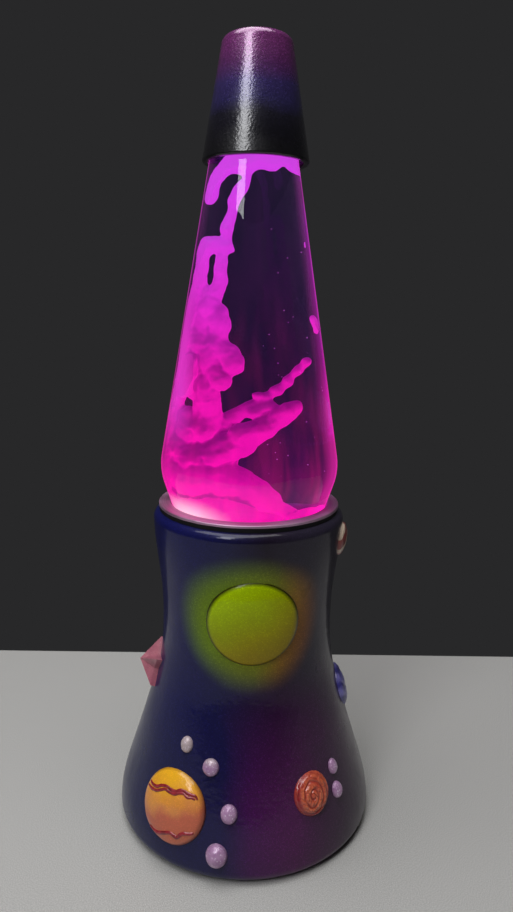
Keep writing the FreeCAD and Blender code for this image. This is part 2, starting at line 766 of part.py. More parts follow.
def glass_globe():
    """Blown bottle with a crown finish and a shallow kick in its floor."""
    kick = 1.5
    kick_radius = 18.0
    shoulder = taper_radius(SHOULDER_HEIGHT, 0)
    inner_shoulder_height = SHOULDER_HEIGHT - 2.0
    inner_shoulder = taper_radius(inner_shoulder_height, GLASS_WALL)
    floor = BOTTLE_LOW + GLASS_FLOOR
    outside = [(0, BOTTLE_LOW + kick, 0), (kick_radius, BOTTLE_LOW + kick, 4.0), (kick_radius + 3, BOTTLE_LOW, 1.5)]
    outside += bottle_side(0, BOTTLE_LOW)
    outside += [
        (shoulder, SHOULDER_HEIGHT, 8.0),
        (THROAT_RADIUS, THROAT_HEIGHT - 2.5, 3.0),
        (THROAT_RADIUS, FINISH_LOW, 0.6),
        (FINISH_RADIUS, FINISH_LOW, 0.6),
        (FINISH_RADIUS, BOTTLE_TOP, 2.0),
        (BORE_RADIUS, BOTTLE_TOP, 1.0),
    ]
    inside = [
        (BORE_RADIUS, THROAT_HEIGHT - 2.5, 4.0),
        (inner_shoulder, inner_shoulder_height, 6.0),
    ]
    inside += bottle_side(GLASS_WALL, floor)[::-1]
    inside.append((0, floor, 0))
    return turned(outside + inside)


def bottle_filling():
    """The space that the liquid and the wax share."""
    inset = GLASS_WALL + FLUID_GAP
    floor = BOTTLE_LOW + GLASS_FLOOR + FLUID_GAP
    corners = [(0, floor, 0)] + bottle_side(inset, floor)
    corners += plain([(taper_radius(FILL_LEVEL, inset), FILL_LEVEL), (0, FILL_LEVEL)])
    return turned(corners)


def coil_ring():
    """Space taken by the wire coil that lies on the bottle's floor."""
    return Part.makeTorus(COIL_RING_RADIUS, COIL_TUBE_RADIUS, Vector(0, 0, COIL_HEIGHT))


def wax_solid(filling, coil):
    """Pool, rising blobs, strands and the collar that has gathered at the top."""
    floor = BOTTLE_LOW + GLASS_FLOOR
    pieces = [filling.common(rod(BELLY_ROUND * 2, floor, POOL_TOP))]
    for x, y, z, radius in WAX_BLOBS + [WAX_COLLAR]:
        pieces.append(Part.makeSphere(radius, Vector(x, y, z)))
    for start, end in WAX_STRANDS:
        foot = Vector(*start[:3])
        run = Vector(*end[:3]) - foot
        pieces.append(Part.makeCone(start[3], end[3], run.Length, foot, run))
        pieces.append(Part.makeSphere(end[3], Vector(*end[:3])))
    wax = pieces[0].multiFuse(pieces[1:])
    return wax.common(filling).cut(coil).removeSplitter()


def crown_cap():
    """Pressed steel cap, fluted round its skirt."""
    top = BOTTLE_TOP + LINER_THICKNESS + CROWN_SHEET
    inner_top = top - CROWN_SHEET
    cap = turned([
        (0, inner_top, 0),
        (CROWN_TOP_RADIUS - CROWN_SHEET, inner_top, 1.2),
        (CROWN_SKIRT_RADIUS - 2 * CROWN_SHEET, CROWN_LOW, 0),
        (CROWN_SKIRT_RADIUS, CROWN_LOW, 0),
        (CROWN_TOP_RADIUS, top, 1.5),
        (0, top, 0),
    ])
    flute = rod(CROWN_FLUTE_RADIUS, CROWN_LOW, CROWN_LOW + 3.4, CROWN_SKIRT_RADIUS + CROWN_FLUTE_RADIUS - 0.45)
    tip = Part.makeSphere(CROWN_FLUTE_RADIUS, Vector(CROWN_SKIRT_RADIUS + CROWN_FLUTE_RADIUS - 0.45, 0,
                                                     CROWN_LOW + 3.4))
    return cap.cut(around(flute.fuse(tip), CROWN_FLUTES))


def decorative_cap():
    """Painted aluminium cone with a curled-in lower rim that leans on the bottle's taper."""
    top = LAMP_HEIGHT
    cone_slope = (CAP_LOW_RADIUS - CAP_TOP_RADIUS) / (top - CAP_LOW)
    inner_top = top - CAP_WALL
    rim_top = CAP_LOW + CAP_RIM_THICKNESS
    inner_low = CAP_LOW_RADIUS - cone_slope * CAP_RIM_THICKNESS - CAP_WALL
    cap = turned([
        (0, inner_top, 0),
        (CAP_TOP_RADIUS - CAP_WALL, inner_top, CAP_TOP_ROUND - CAP_WALL),
        (inner_low, rim_top, 0),
        (CAP_RIM_INNER, rim_top, 0.6),
        (CAP_RIM_INNER, CAP_LOW, 0.6),
        (CAP_LOW_RADIUS, CAP_LOW, 1.0),
        (CAP_TOP_RADIUS, top, CAP_TOP_ROUND),
        (0, top, 0),
    ])
    cap.translate(Vector(CAP_OFF_CENTRE, 0, 0))
    return cap


# ---------------------------------------------------------------- clay planets, moons and star

def skin_placement(angle, height, spin=0.0):
    """Frame on the skin with X round the lamp, Y up the skin and Z outwards."""
    a = math.radians(angle)
    outwards = Vector(math.sin(a), -math.cos(a), 0)
    sideways = Vector(math.cos(a), math.sin(a), 0)
    flat_normal = skin_normal(height)
    normal = outwards * flat_normal.x + UP * flat_normal.z
    uphill = normal.cross(sideways)
    foot = outwards * FLARE_CURVE.value(height).x + UP * height
    frame = Placement(foot, Rotation(sideways, uphill, normal, "ZXY"))
    return frame * Placement(ORIGIN, Rotation(UP, spin))


def skin_hollow(height, reach):
    """How far the skin bends outwards at a reach above and below a height, from its tangent there."""
    above = FLARE_CURVE.value(height + reach).x
    below = FLARE_CURVE.value(height - reach).x
    return (above + below) / 2 - FLARE_CURVE.value(height).x


def clay_dome(angle, height, width, length, rise, sink):
    """Half-buried ellipsoid, trimmed upright to the outline it shows on the skin."""
    depth = rise + sink
    edge_height = sink + DOME_EDGE + skin_hollow(height, length / 2)
    visible_share = math.sqrt(1 - (edge_height / depth) ** 2)
    outline = scaled(Part.makeCylinder(1.0, 2.0, Vector(0, 0, -1)), width / 2, length / 2, 2 * depth)
    dome = scaled(Part.makeSphere(1.0), DOME_OVERSIZE * width / 2, length / 2 / visible_share, depth)
    dome.translate(Vector(0, 0, -sink))
    dome = dome.common(outline)
    dome.Placement = skin_placement(angle, height) * dome.Placement
    return dome


def scaled(shape, x, y, z):
    """Shape stretched by a factor along each axis."""
    matrix = FreeCAD.Matrix()
    matrix.scale(Vector(x, y, z))
    return shape.transformGeometry(matrix)


def clay_star():
    """Five-pointed star with a ridge along each arm."""
    rim = []
    for i in range(10):
        radius = STAR_TIP_RADIUS if i % 2 == 0 else STAR_NOTCH_RADIUS
        turn = math.radians(90 + i * 36)
        rim.append((radius * math.cos(turn), radius * math.sin(turn)))
    apex = Vector(0, 0, STAR_APEX)
    faces = []
    for (x0, y0), (x1, y1) in zip(rim, rim[1:] + rim[:1]):
        top = [Vector(x0, y0, STAR_EDGE), Vector(x1, y1, STAR_EDGE)]
        root = [Vector(x0, y0, -STAR_ROOT), Vector(x1, y1, -STAR_ROOT)]
        faces.append(Part.Face(Part.makePolygon([top[0], top[1], apex, top[0]])))
        faces.append(Part.Face(Part.makePolygon([root[0], root[1], top[1], top[0], root[0]])))
    floor = [Vector(x, y, -STAR_ROOT) for x, y in rim]
    faces.append(Part.Face(Part.makePolygon(floor + floor[:1])))
    star = Part.Solid(Part.Shell(faces))
    star.Placement = skin_placement(STAR_ANGLE, STAR_HEIGHT, STAR_TILT)
    return star


def save_base():
    """Core, skin, clay decoration, gasket and cord inlet."""
    core = base_core().cut(inlet_hole())
    skin = base_skin().cut(inlet_hole())
    plug = filled_base()
    save("base_core", core)
    save("base_skin", skin)
    save("rim_gasket", rim_gasket())
    save("cord_inlet_grommet", inlet_grommet(skin, core))
    for name, *sizes in PLANETS:
        save(name, clay_dome(*sizes).cut(plug))
    moons = []
    for angle, height, width, length in MOONS:
        moons.append(clay_dome(angle, height, width, length, MOON_RISE * width, MOON_SINK).cut(plug))
    save("moon_pearls", *moons)
    save("pink_star", clay_star().cut(plug))


def save_underside():
    """Bottom plate and what holds it."""
    save("bottom_plate", bottom_plate())
    save("plate_lugs", *plate_lugs())
    save("plate_screws", *plate_screws())
    save("rubber_feet", *rubber_feet())


def save_socket():
    """Bracket, nipple, nut and screw socket."""
    save("socket_bracket", socket_bracket())
    save("bracket_rivets", *bracket_rivets())
    save("socket_nipple", socket_nipple())
    save("nipple_nut", nipple_nut())
    save("socket_body", socket_body())
    save("socket_thread", socket_thread())
    save("socket_contact", socket_contact())


def save_bulb():
    """The bulb's own pieces."""
    save("bulb_envelope", bulb_envelope())
    save("bulb_screw_shell", bulb_screw_shell())
    save("bulb_insulator", bulb_insulator())
    save("bulb_contact", bulb_contact())
    save("bulb_stem", bulb_stem())
    save("bulb_filament", bulb_filament())


def save_globe():
    """Bottle, crown cap, liquid, wax and coil."""
    filling = bottle_filling()
    coil = coil_ring()
    wax = wax_solid(filling, coil)
    save("glass_globe", glass_globe())
    save("wire_coil", coil)
    save("wax", wax)
    save("globe_liquid", filling.cut(wax).cut(coil))
    save("crown_liner", rod(LINER_RADIUS, BOTTLE_TOP, BOTTLE_TOP + LINER_THICKNESS))
    save("crown_cap", crown_cap())


def main():
    os.makedirs("parts", exist_ok=True)
    save_base()
    save_underside()
    save_socket()
    save_bulb()
    save_globe()
    save("decorative_cap", decorative_cap())


main()
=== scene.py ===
"""Lava lamp: a glowing bottle on a flared base modelled in clay, under a painted cone cap. Metres, Z up."""
import math
import random
import bmesh
import bpy
from mathutils import Matrix, Vector, noise


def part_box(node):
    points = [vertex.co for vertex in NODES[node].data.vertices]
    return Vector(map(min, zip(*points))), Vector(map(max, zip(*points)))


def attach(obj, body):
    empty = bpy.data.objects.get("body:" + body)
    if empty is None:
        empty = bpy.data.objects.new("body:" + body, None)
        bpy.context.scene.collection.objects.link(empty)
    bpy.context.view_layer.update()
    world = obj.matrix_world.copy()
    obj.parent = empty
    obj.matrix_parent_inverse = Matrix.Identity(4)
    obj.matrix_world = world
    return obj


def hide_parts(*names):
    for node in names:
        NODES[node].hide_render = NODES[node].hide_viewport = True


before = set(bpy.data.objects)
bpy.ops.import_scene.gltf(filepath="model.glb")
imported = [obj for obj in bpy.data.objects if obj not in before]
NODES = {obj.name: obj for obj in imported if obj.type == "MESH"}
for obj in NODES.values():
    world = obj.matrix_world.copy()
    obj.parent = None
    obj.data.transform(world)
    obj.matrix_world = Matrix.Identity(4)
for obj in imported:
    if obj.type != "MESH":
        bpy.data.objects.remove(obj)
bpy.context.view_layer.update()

MM = 0.001
UP = Vector((0, 0, 1))

# The camera stands in front of the lamp and looks a little down.
CAMERA_PLACE = Vector((0.0, -0.3365, 0.2549))
CAMERA_PITCH = math.radians(11.88)
CAMERA_YAW = math.radians(0.58)
CAMERA_ROLL = math.radians(1.01)
CAMERA_LENS = 28.07
SENSOR_LONG_SIDE = 36.0

# The table runs from behind the camera to just behind the lamp.
TABLE_HALF_WIDTH = 0.9
TABLE_FRONT = -0.6
TABLE_BACK = 0.155
TABLE_THICKNESS = 0.03

# Heights and gaps inside the bottle.
FILL_LEVEL = 0.331
POOL_TOP = 0.157
LIQUID_GAP = 0.2 * MM
WAX_GAP = 0.5 * MM

# The wax: its voxels, the depth of a full crease, the light under it and the middle of its painted
# near-white glow.
WAX_VOXEL = 0.7 * MM
CREASE_DEPTH = 0.12 * MM
BULB_GLOW = (0.0, 0.0, 0.12)
PAINTED_GLOW_FOOT = (-0.033, -0.026, 0.158)
BUBBLE_COUNT = 34

# A sculpted face goes out to a share of the CAD outline. Its rings crowd toward the edge, and a skirt turns
# in under it. Rays start at the probe's distance outside, and the skin's tilt is read this far up and down.
EDGE_SHARE = 0.99
EDGE_CROWDING = 1.3
SKIRT = 1.5 * MM
PROBE = 30 * MM
TILT_REACH = 6 * MM

BLACK = (0, 0, 0, 1)

# The same noise in every run.
noise.seed_set(5)


# ---- shader helpers

def linear(red, green, blue, alpha=1.0):
    """A colour given in 0-255 display values, as the linear values that shaders take."""
    channels = []
    for value in (red, green, blue):
        share = value / 255
        channels.append(share / 12.92 if share <= 0.04045 else ((share + 0.055) / 1.055) ** 2.4)
    return (*channels, alpha)


def socket(tree, name):
    """An input of a material's Principled shader."""
    return tree.nodes["Principled BSDF"].inputs[name]


def new_material(name, **settings):
    """A material with these inputs of its Principled shader set. Spaces in their names are underscores."""
    made = bpy.data.materials.new(name)
    made.use_nodes = True
    for key, value in settings.items():
        socket(made.node_tree, key.replace("_", " ")).default_value = value
    return made, made.node_tree


def add_node(tree, kind, inputs, **attributes):
    """A node with its attributes set; each input is a constant, or another node's output to link."""
    made = tree.nodes.new(kind)
    for name, value in attributes.items():
        setattr(made, name, value)
    for key, value in inputs.items():
        if isinstance(value, bpy.types.NodeSocket):
            tree.links.new(value, made.inputs[key])
        else:
            made.inputs[key].default_value = value
    return made


def place(tree):
    """The object coordinates, which are the lamp's own frame in metres."""
    return add_node(tree, "ShaderNodeTexCoord", {}).outputs["Object"]


def axes(tree):
    """The X, Y and Z outputs of the object coordinates."""
    return add_node(tree, "ShaderNodeSeparateXYZ", {"Vector": place(tree)}).outputs


def stretched(tree, scale):
    """The object coordinates scaled along each axis."""
    return add_node(tree, "ShaderNodeMapping", {"Vector": place(tree), "Scale": scale}).outputs[0]


def noise_value(tree, scale, detail=3.0, vector=None):
    """Smooth noise from 0 to 1, with this many cycles in a metre."""
    inputs = {"Vector": vector or place(tree), "Scale": scale, "Detail": detail}
    return add_node(tree, "ShaderNodeTexNoise", inputs).outputs["Fac"]


def cell_value(tree, scale):
    """A random value from 0 to 1 for each small cell."""
    cells = add_node(tree, "ShaderNodeTexVoronoi", {"Vector": place(tree), "Scale": scale})
    return add_node(tree, "ShaderNodeSeparateColor", {"Color": cells.outputs["Color"]}).outputs[0]


def calculate(tree, operation, first, second=0.0):
    return add_node(tree, "ShaderNodeMath", {0: first, 1: second}, operation=operation).outputs[0]


def times(tree, first, second):
    return calculate(tree, "MULTIPLY", first, second)


def plus(tree, first, second):
    return calculate(tree, "ADD", first, second)


def wander(tree, scale, amount, detail=3.0):
    """Smooth noise round zero; amount is its whole range."""
    return times(tree, plus(tree, noise_value(tree, scale, detail), -0.5), amount)


def spread(tree, value, low, high, start=0.0, end=1.0):
    """Maps low to start and high to end, smoothly, and holds the ends."""
    inputs = {"Value": value, "From Min": low, "From Max": high, "To Min": start, "To Max": end}
    return add_node(tree, "ShaderNodeMapRange", inputs, interpolation_type="SMOOTHSTEP").outputs[0]


def ramp(tree, value, stops):
    """A colour from (position, colour) stops; a colour is three display values, or four linear ones."""
    made = add_node(tree, "ShaderNodeValToRGB", {"Fac": value})
    elements = made.color_ramp.elements
    while len(elements) < len(stops):
        elements.new(0.5)
    for element, (position, shade) in zip(elements, stops):
        element.position = position
        element.color = shade if len(shade) == 4 else linear(*shade)
    return made.outputs["Color"]


def blend(tree, factor, first, second, mode="MIX"):
    """A mix of two colours."""
    inputs = {0: factor, 6: first, 7: second}
    return add_node(tree, "ShaderNodeMix", inputs, data_type="RGBA", blend_type=mode).outputs[2]


def vector_math(tree, operation, first, second=(0, 0, 0)):
    return add_node(tree, "ShaderNodeVectorMath", {0: first, 1: second}, operation=operation).outputs


def distance_from(tree, centre, sizes):
    """The distance from a point, 1 at an ellipsoid of these half sizes."""
    moved = vector_math(tree, "SUBTRACT", place(tree), centre)["Vector"]
    scaled = vector_math(tree, "DIVIDE", moved, sizes)["Vector"]
    return vector_math(tree, "LENGTH", scaled)["Value"]


def mark_value(tree):
    """The mark that the relief left on each point: it places a second clay's colour on some pieces, and
    painted shade in creases and edges on others.
    """
    return add_node(tree, "ShaderNodeAttribute", {}, attribute_name="mark").outputs["Fac"]


def roughen(tree, value, low, high):
    """Drives the roughness from low to high by a value from 0 to 1."""
    tree.links.new(spread(tree, value, 0.3, 0.7, low, high), socket(tree, "Roughness"))


def bump(tree, height, depth, strength=1.0):
    """Bumps for the surface and for the coat over it."""
    made = add_node(tree, "ShaderNodeBump", {"Height": height, "Distance": depth, "Strength": strength})
    for name in ("Normal", "Coat Normal"):
        tree.links.new(made.outputs["Normal"], socket(tree, name))


def colour(tree, output):
    tree.links.new(output, socket(tree, "Base Color"))


def glow(tree, output, strength):
    """Light of this colour given off by the surface."""
    tree.links.new(output, socket(tree, "Emission Color"))
    socket(tree, "Emission Strength").default_value = strength


def finish_surface(tree, low, high, cloud, grain, depth, strength=0.5, detail=3):
    """Roughness that drifts from low to high, and a fine grain; cloud and grain are cycles in a metre."""
    roughen(tree, noise_value(tree, cloud, 3), low, high)
    bump(tree, noise_value(tree, grain, detail), depth, strength)


def dress(node_name, *materials):
    """Puts the materials on a CAD node's slots."""
    slots = NODES[node_name].data.materials
    slots.clear()
    for made in materials:
        slots.append(made)


def shade_smooth(mesh, angle=40):
    """Smooth shading, with edges over the angle kept sharp."""
    mesh.shade_smooth()
    mesh.set_sharp_from_angle(angle=math.radians(angle))


# ---- mesh helpers

def placed(name, data):
    """An object in the scene."""
    made = bpy.data.objects.new(name, data)
    bpy.context.scene.collection.objects.link(made)
    return made


def mesh_from(name, shape):
    """A mesh with a bmesh's shape, which is freed."""
    mesh = bpy.data.meshes.new(name)
    shape.to_mesh(mesh)
    shape.free()
    return mesh


def mesh_object(name, points, faces, body, slot_name, *materials):
    """A smooth piece that rides on a body."""
    mesh = bpy.data.meshes.new(name)
    mesh.from_pydata([tuple(point) for point in points], [], faces)
    return mesh_piece(name, mesh, body, slot_name, *materials)


def mesh_piece(name, mesh, body, slot_name, *materials):
    """A smooth piece made from a mesh."""
    mesh.validate()
    mesh.shade_smooth()
    for made in materials:
        mesh.materials.append(made)
    made = placed(name, mesh)
    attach(made, body)
    return made


def lathe(profile, segments):
    """Points and faces of a closed solid turned round Z; the profile starts and ends on the axis."""
    points = [Vector((0, 0, profile[0][1]))]
    for radius, height in profile[1:-1]:
        for step in range(segments):
            angle = math.tau * step / segments
            points.append(Vector((radius * math.cos(angle), radius * math.sin(angle), height)))
    points.append(Vector((0, 0, profile[-1][1])))
    faces = []
    for step in range(segments):
        after = (step + 1) % segments
        faces.append((0, 1 + after, 1 + step))
        for ring in range(len(profile) - 3):
            low = 1 + ring * segments
            high = low + segments
            faces.append((low + step, low + after, high + after, high + step))
        last = 1 + (len(profile) - 3) * segments
        faces.append((last + step, last + after, len(points) - 1))
    return points, faces


def tube(path, radii, sides=10, flatness=1.0, out=None, closed=False):
    """Points and faces of a round tube along a path; out is the direction in which it is flattened."""
    points = []
    faces = []
    count = len(path)
    for index, centre in enumerate(path):
        if closed:
            ahead = path[(index + 1) % count] - path[index - 1]
        else:
            ahead = path[min(index + 1, count - 1)] - path[max(index - 1, 0)]
        ahead.normalize()
        side = ahead.cross(out or UP).normalized()
        rise = side.cross(ahead)
        for step in range(sides):
            angle = math.tau * step / sides
            offset = side * math.cos(angle) + rise * (math.sin(angle) * flatness)
            points.append(centre + offset * radii[index])
    for index in range(count if closed else count - 1):
        here = index * sides
        there = (index + 1) % count * sides
        for step in range(sides):
            after = (step + 1) % sides
            faces.append((here + step, here + after, there + after, there + step))
    if not closed:
        faces.append(tuple(reversed(range(sides))))
        faces.append(tuple(range((count - 1) * sides, count * sides)))
    return points, faces


# ---- the bottle and what is in it

def cavity_radius(height):
    """The inner radius of the bottle at a height."""
    hit, found, _, _ = NODES["glass_globe"].ray_cast(Vector((0, 0, height)), Vector((1, 0, 0)))
    return found.x if hit else 0.0


def cavity_floor():
    """The height of the floor inside the bottle."""
    _, found, _, _ = NODES["glass_globe"].ray_cast(Vector((0, 0, 0.2)), -UP)
    return found.z


def bottle_materials():
    """Clear glass with pink light in its edges, and the glass where liquid wets it and bends light less."""
    glass, tree = new_material(
        "bottle_glass", Transmission_Weight=1.0, IOR=1.38, Base_Color=linear(252, 246, 254))
    # The pink in the edges is a painted glow of the wax's light, fainter at the left and gone above the fill
    # level.
    edge = add_node(tree, "ShaderNodeLayerWeight", {"Blend": 0.35}).outputs["Facing"]
    coords = axes(tree)
    height = coords["Z"]
    uneven = spread(tree, noise_value(tree, 18), 0.2, 0.8, 0.55, 1.0)
    line = times(tree, spread(tree, edge, 0.62, 0.95, 0.0, 0.6), uneven)
    band = times(tree, spread(tree, edge, 0.3, 0.6), spread(tree, height, 0.2, 0.235, 0.36, 0.1))
    band = times(tree, band, spread(tree, coords["X"], -0.03, 0.0, 0.25, 1.0))
    filled = spread(tree, height, FILL_LEVEL + 4 * MM, FILL_LEVEL - 6 * MM)
    share = times(tree, plus(tree, line, band), filled)
    tint = ramp(tree, spread(tree, height, 0.19, 0.3), [(0.0, (232, 30, 160)), (1.0, (228, 62, 214))])
    glow(tree, blend(tree, share, BLACK, tint), 1.3)
    smear = noise_value(tree, 1.0, 4, stretched(tree, (260, 260, 30)))
    tree.links.new(spread(tree, smear, 0.55, 0.8, 0.0, 0.03), socket(tree, "Roughness"))
    clear = linear(255, 252, 255)
    wetted, _ = new_material(
        "bottle_glass_wetted", Transmission_Weight=1.0, IOR=1.052, Roughness=0.0, Base_Color=clear)
    return glass, wetted


def build_bottle():
    """The bottle keeps its CAD shape; the faces that the liquid wets take the second glass."""
    dress("glass_globe", *bottle_materials())
    mesh = NODES["glass_globe"].data
    shade_smooth(mesh, 50)
    for face in mesh.polygons:
        centre = face.center
        inward = face.normal.x * centre.x + face.normal.y * centre.y < 0
        floor_face = face.normal.z > 0.5 and centre.z < POOL_TOP + 3 * MM
        if centre.z < FILL_LEVEL and (inward or floor_face):
            face.material_index = 1


def liquid_material():
    """Violet dyed liquid with a faint painted glow that stands in for the wax's light: dark under the cap,
    purple by the wax, in soft streaks.
    """
    made, tree = new_material(
        "dyed_liquid", Transmission_Weight=1.0, IOR=1.0, Roughness=0.0, Base_Color=linear(245, 225, 250))
    height = spread(tree, axes(tree)["Z"], 0.15, 0.33)
    veil = ramp(tree, height, [
        (0.0, (104, 8, 74)), (0.12, (80, 6, 58)), (0.3, (48, 4, 39)), (0.6, (24, 4, 30)), (1.0, (9, 5, 26))])
    streaks = noise_value(tree, 1.0, 2, stretched(tree, (150, 150, 5)))
    bands = ramp(tree, streaks, [
        (0.36, (0.15, 0.4, 0.6, 1)), (0.5, (0.8, 0.8, 0.9, 1)), (0.64, (1.9, 1.2, 1.4, 1))])
    glow(tree, blend(tree, 1.0, veil, bands, "MULTIPLY"), 0.78)
    tint = add_node(tree, "ShaderNodeVolumeAbsorption", {"Color": linear(170, 90, 220), "Density": 20.0})
    tree.links.new(tint.outputs[0], tree.nodes["Material Output"].inputs["Volume"])
    return made


def build_liquid():
    """The liquid fills the bottle from its floor to the fill level."""
    floor = cavity_floor() + LIQUID_GAP
    lowest = floor + 0.3 * MM
    steps = 70
    profile = [(0, floor)]
    for step in range(steps + 1):
        height = lowest + (FILL_LEVEL - lowest) * step / steps
        profile.append((cavity_radius(height) - LIQUID_GAP, height))
    profile.append((0, FILL_LEVEL))
    points, faces = lathe(profile, 128)
    made = mesh_object("liquid", points, faces, "globe", "dyed_liquid", liquid_material())
    made.data.set_sharp_from_angle(angle=math.radians(50))
    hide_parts("globe_liquid")


# Each strand of wax is a chain of balls: X, Y, height and radius, in millimetres.
WAX_STRANDS = {
    "collar": [
        (-9, -12, 314, 4.6), (-4, -13, 314, 4.6), (2, -13, 316, 4.2), (6, -12, 315, 4.6),
        (9, -11, 317, 3.6), (13, -8, 317, 3.4), (15, -5, 316, 4.0), (17, -1, 315, 4.0), (16, 6, 320, 3.6),
        (9, 12, 321, 3.6), (2, 14, 322, 3.4)],
    "droop": [
        (-9, -12, 314, 4.0), (-12, -11, 312, 4.0), (-15, -9, 309, 3.8), (-17, -7, 305, 4.2),
        (-17, -6, 302, 4.2)],
    "spire": [
        (1, -13, 315, 0.7), (-1, -13, 311, 1.3), (-3, -12, 308, 1.9), (-5, -12, 303, 2.7),
        (-7, -12, 299, 2.9), (-8, -12, 295, 2.1), (-9, -12, 291, 2.3), (-10, -12, 287, 2.9),
        (-10, -12, 283, 2.5), (-10, -12, 280, 2.1), (-12, -12, 276, 2.7), (-12, -12, 272, 2.8),
        (-12, -12, 267, 2.9), (-13, -12, 263, 3.2), (-15, -12, 258, 4.0), (-17, -12, 253, 5.4)],
    "spire_lump": [(-10, -13, 280, 2.4), (-8, -13, 278, 1.5)],
    "wall_arch": [(-19, -9, 280, 4.0), (-15, -11, 281, 3.6), (-11, -12, 279, 3.2)],
    "wall_column": [
        (-18, -8, 280, 4.0), (-20, -8, 277, 4.2), (-20, -8, 273, 3.8), (-21, -8, 268, 3.6),
        (-21, -8, 262, 4.2), (-23, -8, 256, 5.4), (-24, -8, 250, 5.8), (-25, -8, 243, 5.8),
        (-26, -8, 235, 5.6), (-27, -8, 226, 5.4), (-28, -6, 218, 5.0), (-30, -4, 210, 4.6),
        (-31, -4, 202, 5.6), (-30, -4, 194, 6.4)],
    "column_fill": [
        (-17, -10, 259, 4.2), (-18, -10, 252, 5.6), (-19, -10, 245, 6.0), (-20, -11, 238, 6.0),
        (-20, -11, 230, 6.0), (-21, -11, 223, 6.0), (-22, -11, 217, 5.4)],
    "inner_column": [
        (-14, -12, 251, 5.4), (-13, -13, 246, 5.2), (-13, -14, 241, 4.2), (-15, -14, 236, 5.8),
        (-16, -14, 230, 6.0), (-15, -14, 224, 5.8), (-17, -14, 218, 5.6), (-17, -14, 212, 5.8),
        (-17, -12, 205, 6.8), (-18, -12, 199, 7.0)],
    "low_fill": [(-24, -9, 204, 5.0), (-24, -9, 197, 7.0)],
    "knobs": [(-12, -15, 245, 2.2), (-11, -14, 239, 3.0)],
    "right_lobe": [(-13, -15, 235, 4.8), (-9, -16, 233, 5.0), (-7, -17, 229, 5.0)],
    "lower_lobe": [(-14, -17, 225, 4.6), (-12, -18, 222, 5.0)],
    "left_lobe": [(-26, -16, 229, 4.4), (-27, -17, 224, 5.2), (-28, -15, 218, 4.8)],
    "thin_arm": [
        (-10, -10, 201, 4.2), (-6, -10, 205, 3.4), (-3, -10, 207, 3.0), (0, -10, 209, 3.2),
        (3, -10, 211, 2.6), (6, -10, 213, 3.2), (8, -10, 215, 2.0), (10, -10, 217, 3.0),
        (12, -10, 219, 1.9), (14, -10, 221, 2.8), (16, -10, 224, 1.7), (18, -10, 226, 2.4),
        (20, -10, 228, 1.6), (22, -10, 230, 2.4)],
    "thin_arm_beads": [(2, -11, 214.5, 1.8), (3, -11, 214.5, 1.9)],
    "arm_bridge": [(1, -12, 207, 2.8), (8, -12, 209, 3.0)],
    "thick_arm": [
        (-14, -12, 188, 8.0), (-10, -13, 190, 8.0), (-5, -14, 193, 7.4), (-1, -14, 196, 6.2),
        (4, -14, 199, 5.6), (8, -14, 202, 4.2), (12, -14, 205, 4.6), (15, -14, 208, 4.8),
        (18, -14, 210, 3.4)],
    "arm_lump": [(-4, -17, 197, 5.6), (0, -17, 200, 4.6)],
    "slope_top": [(-28, -8, 189, 8.0), (-24, -9, 185, 8.6), (-18, -9, 184, 9.0), (-11, -11, 183, 7.0)],
    "slope": [
        (-27, -8, 177, 9.0), (-19, -12, 176, 9.0), (-12, -13, 176, 8.6), (-5, -13, 174, 8.0),
        (0, -12, 171, 7.4), (5, -11, 169, 6.4), (9, -10, 165, 5.8), (14, -9, 162, 5.0), (19, -9, 160, 4.0)],
    "slope_lumps": [(-4, -12, 179, 3.2), (3, -12, 175, 3.0), (10, -11, 170, 3.0)],
    "left_wall": [
        (-32, -5, 202, 4.0), (-33, -5, 192, 6.0), (-34, -5, 182, 7.0), (-33, -7, 173, 7.0),
        (-31, -10, 166, 6.5), (-27, -16, 161, 6.0), (-20, -22, 159, 5.0)],
    "front_dome": [
        (-26, -17, 163, 6.6), (-19, -20, 163, 7.4), (-12, -21, 163, 8.0), (-4, -22, 162, 7.6),
        (4, -22, 160, 6.2), (10, -20, 159, 4.6)],
    "right_mound": [(19, -13, 160, 3.6), (24, -10, 161, 4.4), (28, -8, 161, 4.0), (31, -4, 159, 3.6)],
    "wall_spot": [(25, -9, 249, 2.2), (27, -7, 247, 2.8), (27, -6, 244, 1.8)],
    "wall_bead": [(22, -8, 282, 1.0), (22, -8, 281, 1.0)],
}


def bulb_side(tree):
    """How much a surface faces away from the bulb under the bottle, from -1 to 1."""
    facing = add_node(tree, "ShaderNodeNewGeometry", {}).outputs["Normal"]
    away = vector_math(tree, "SUBTRACT", place(tree), BULB_GLOW)["Vector"]
    away = vector_math(tree, "NORMALIZE", away)["Vector"]
    return vector_math(tree, "DOT_PRODUCT", facing, away)["Value"]


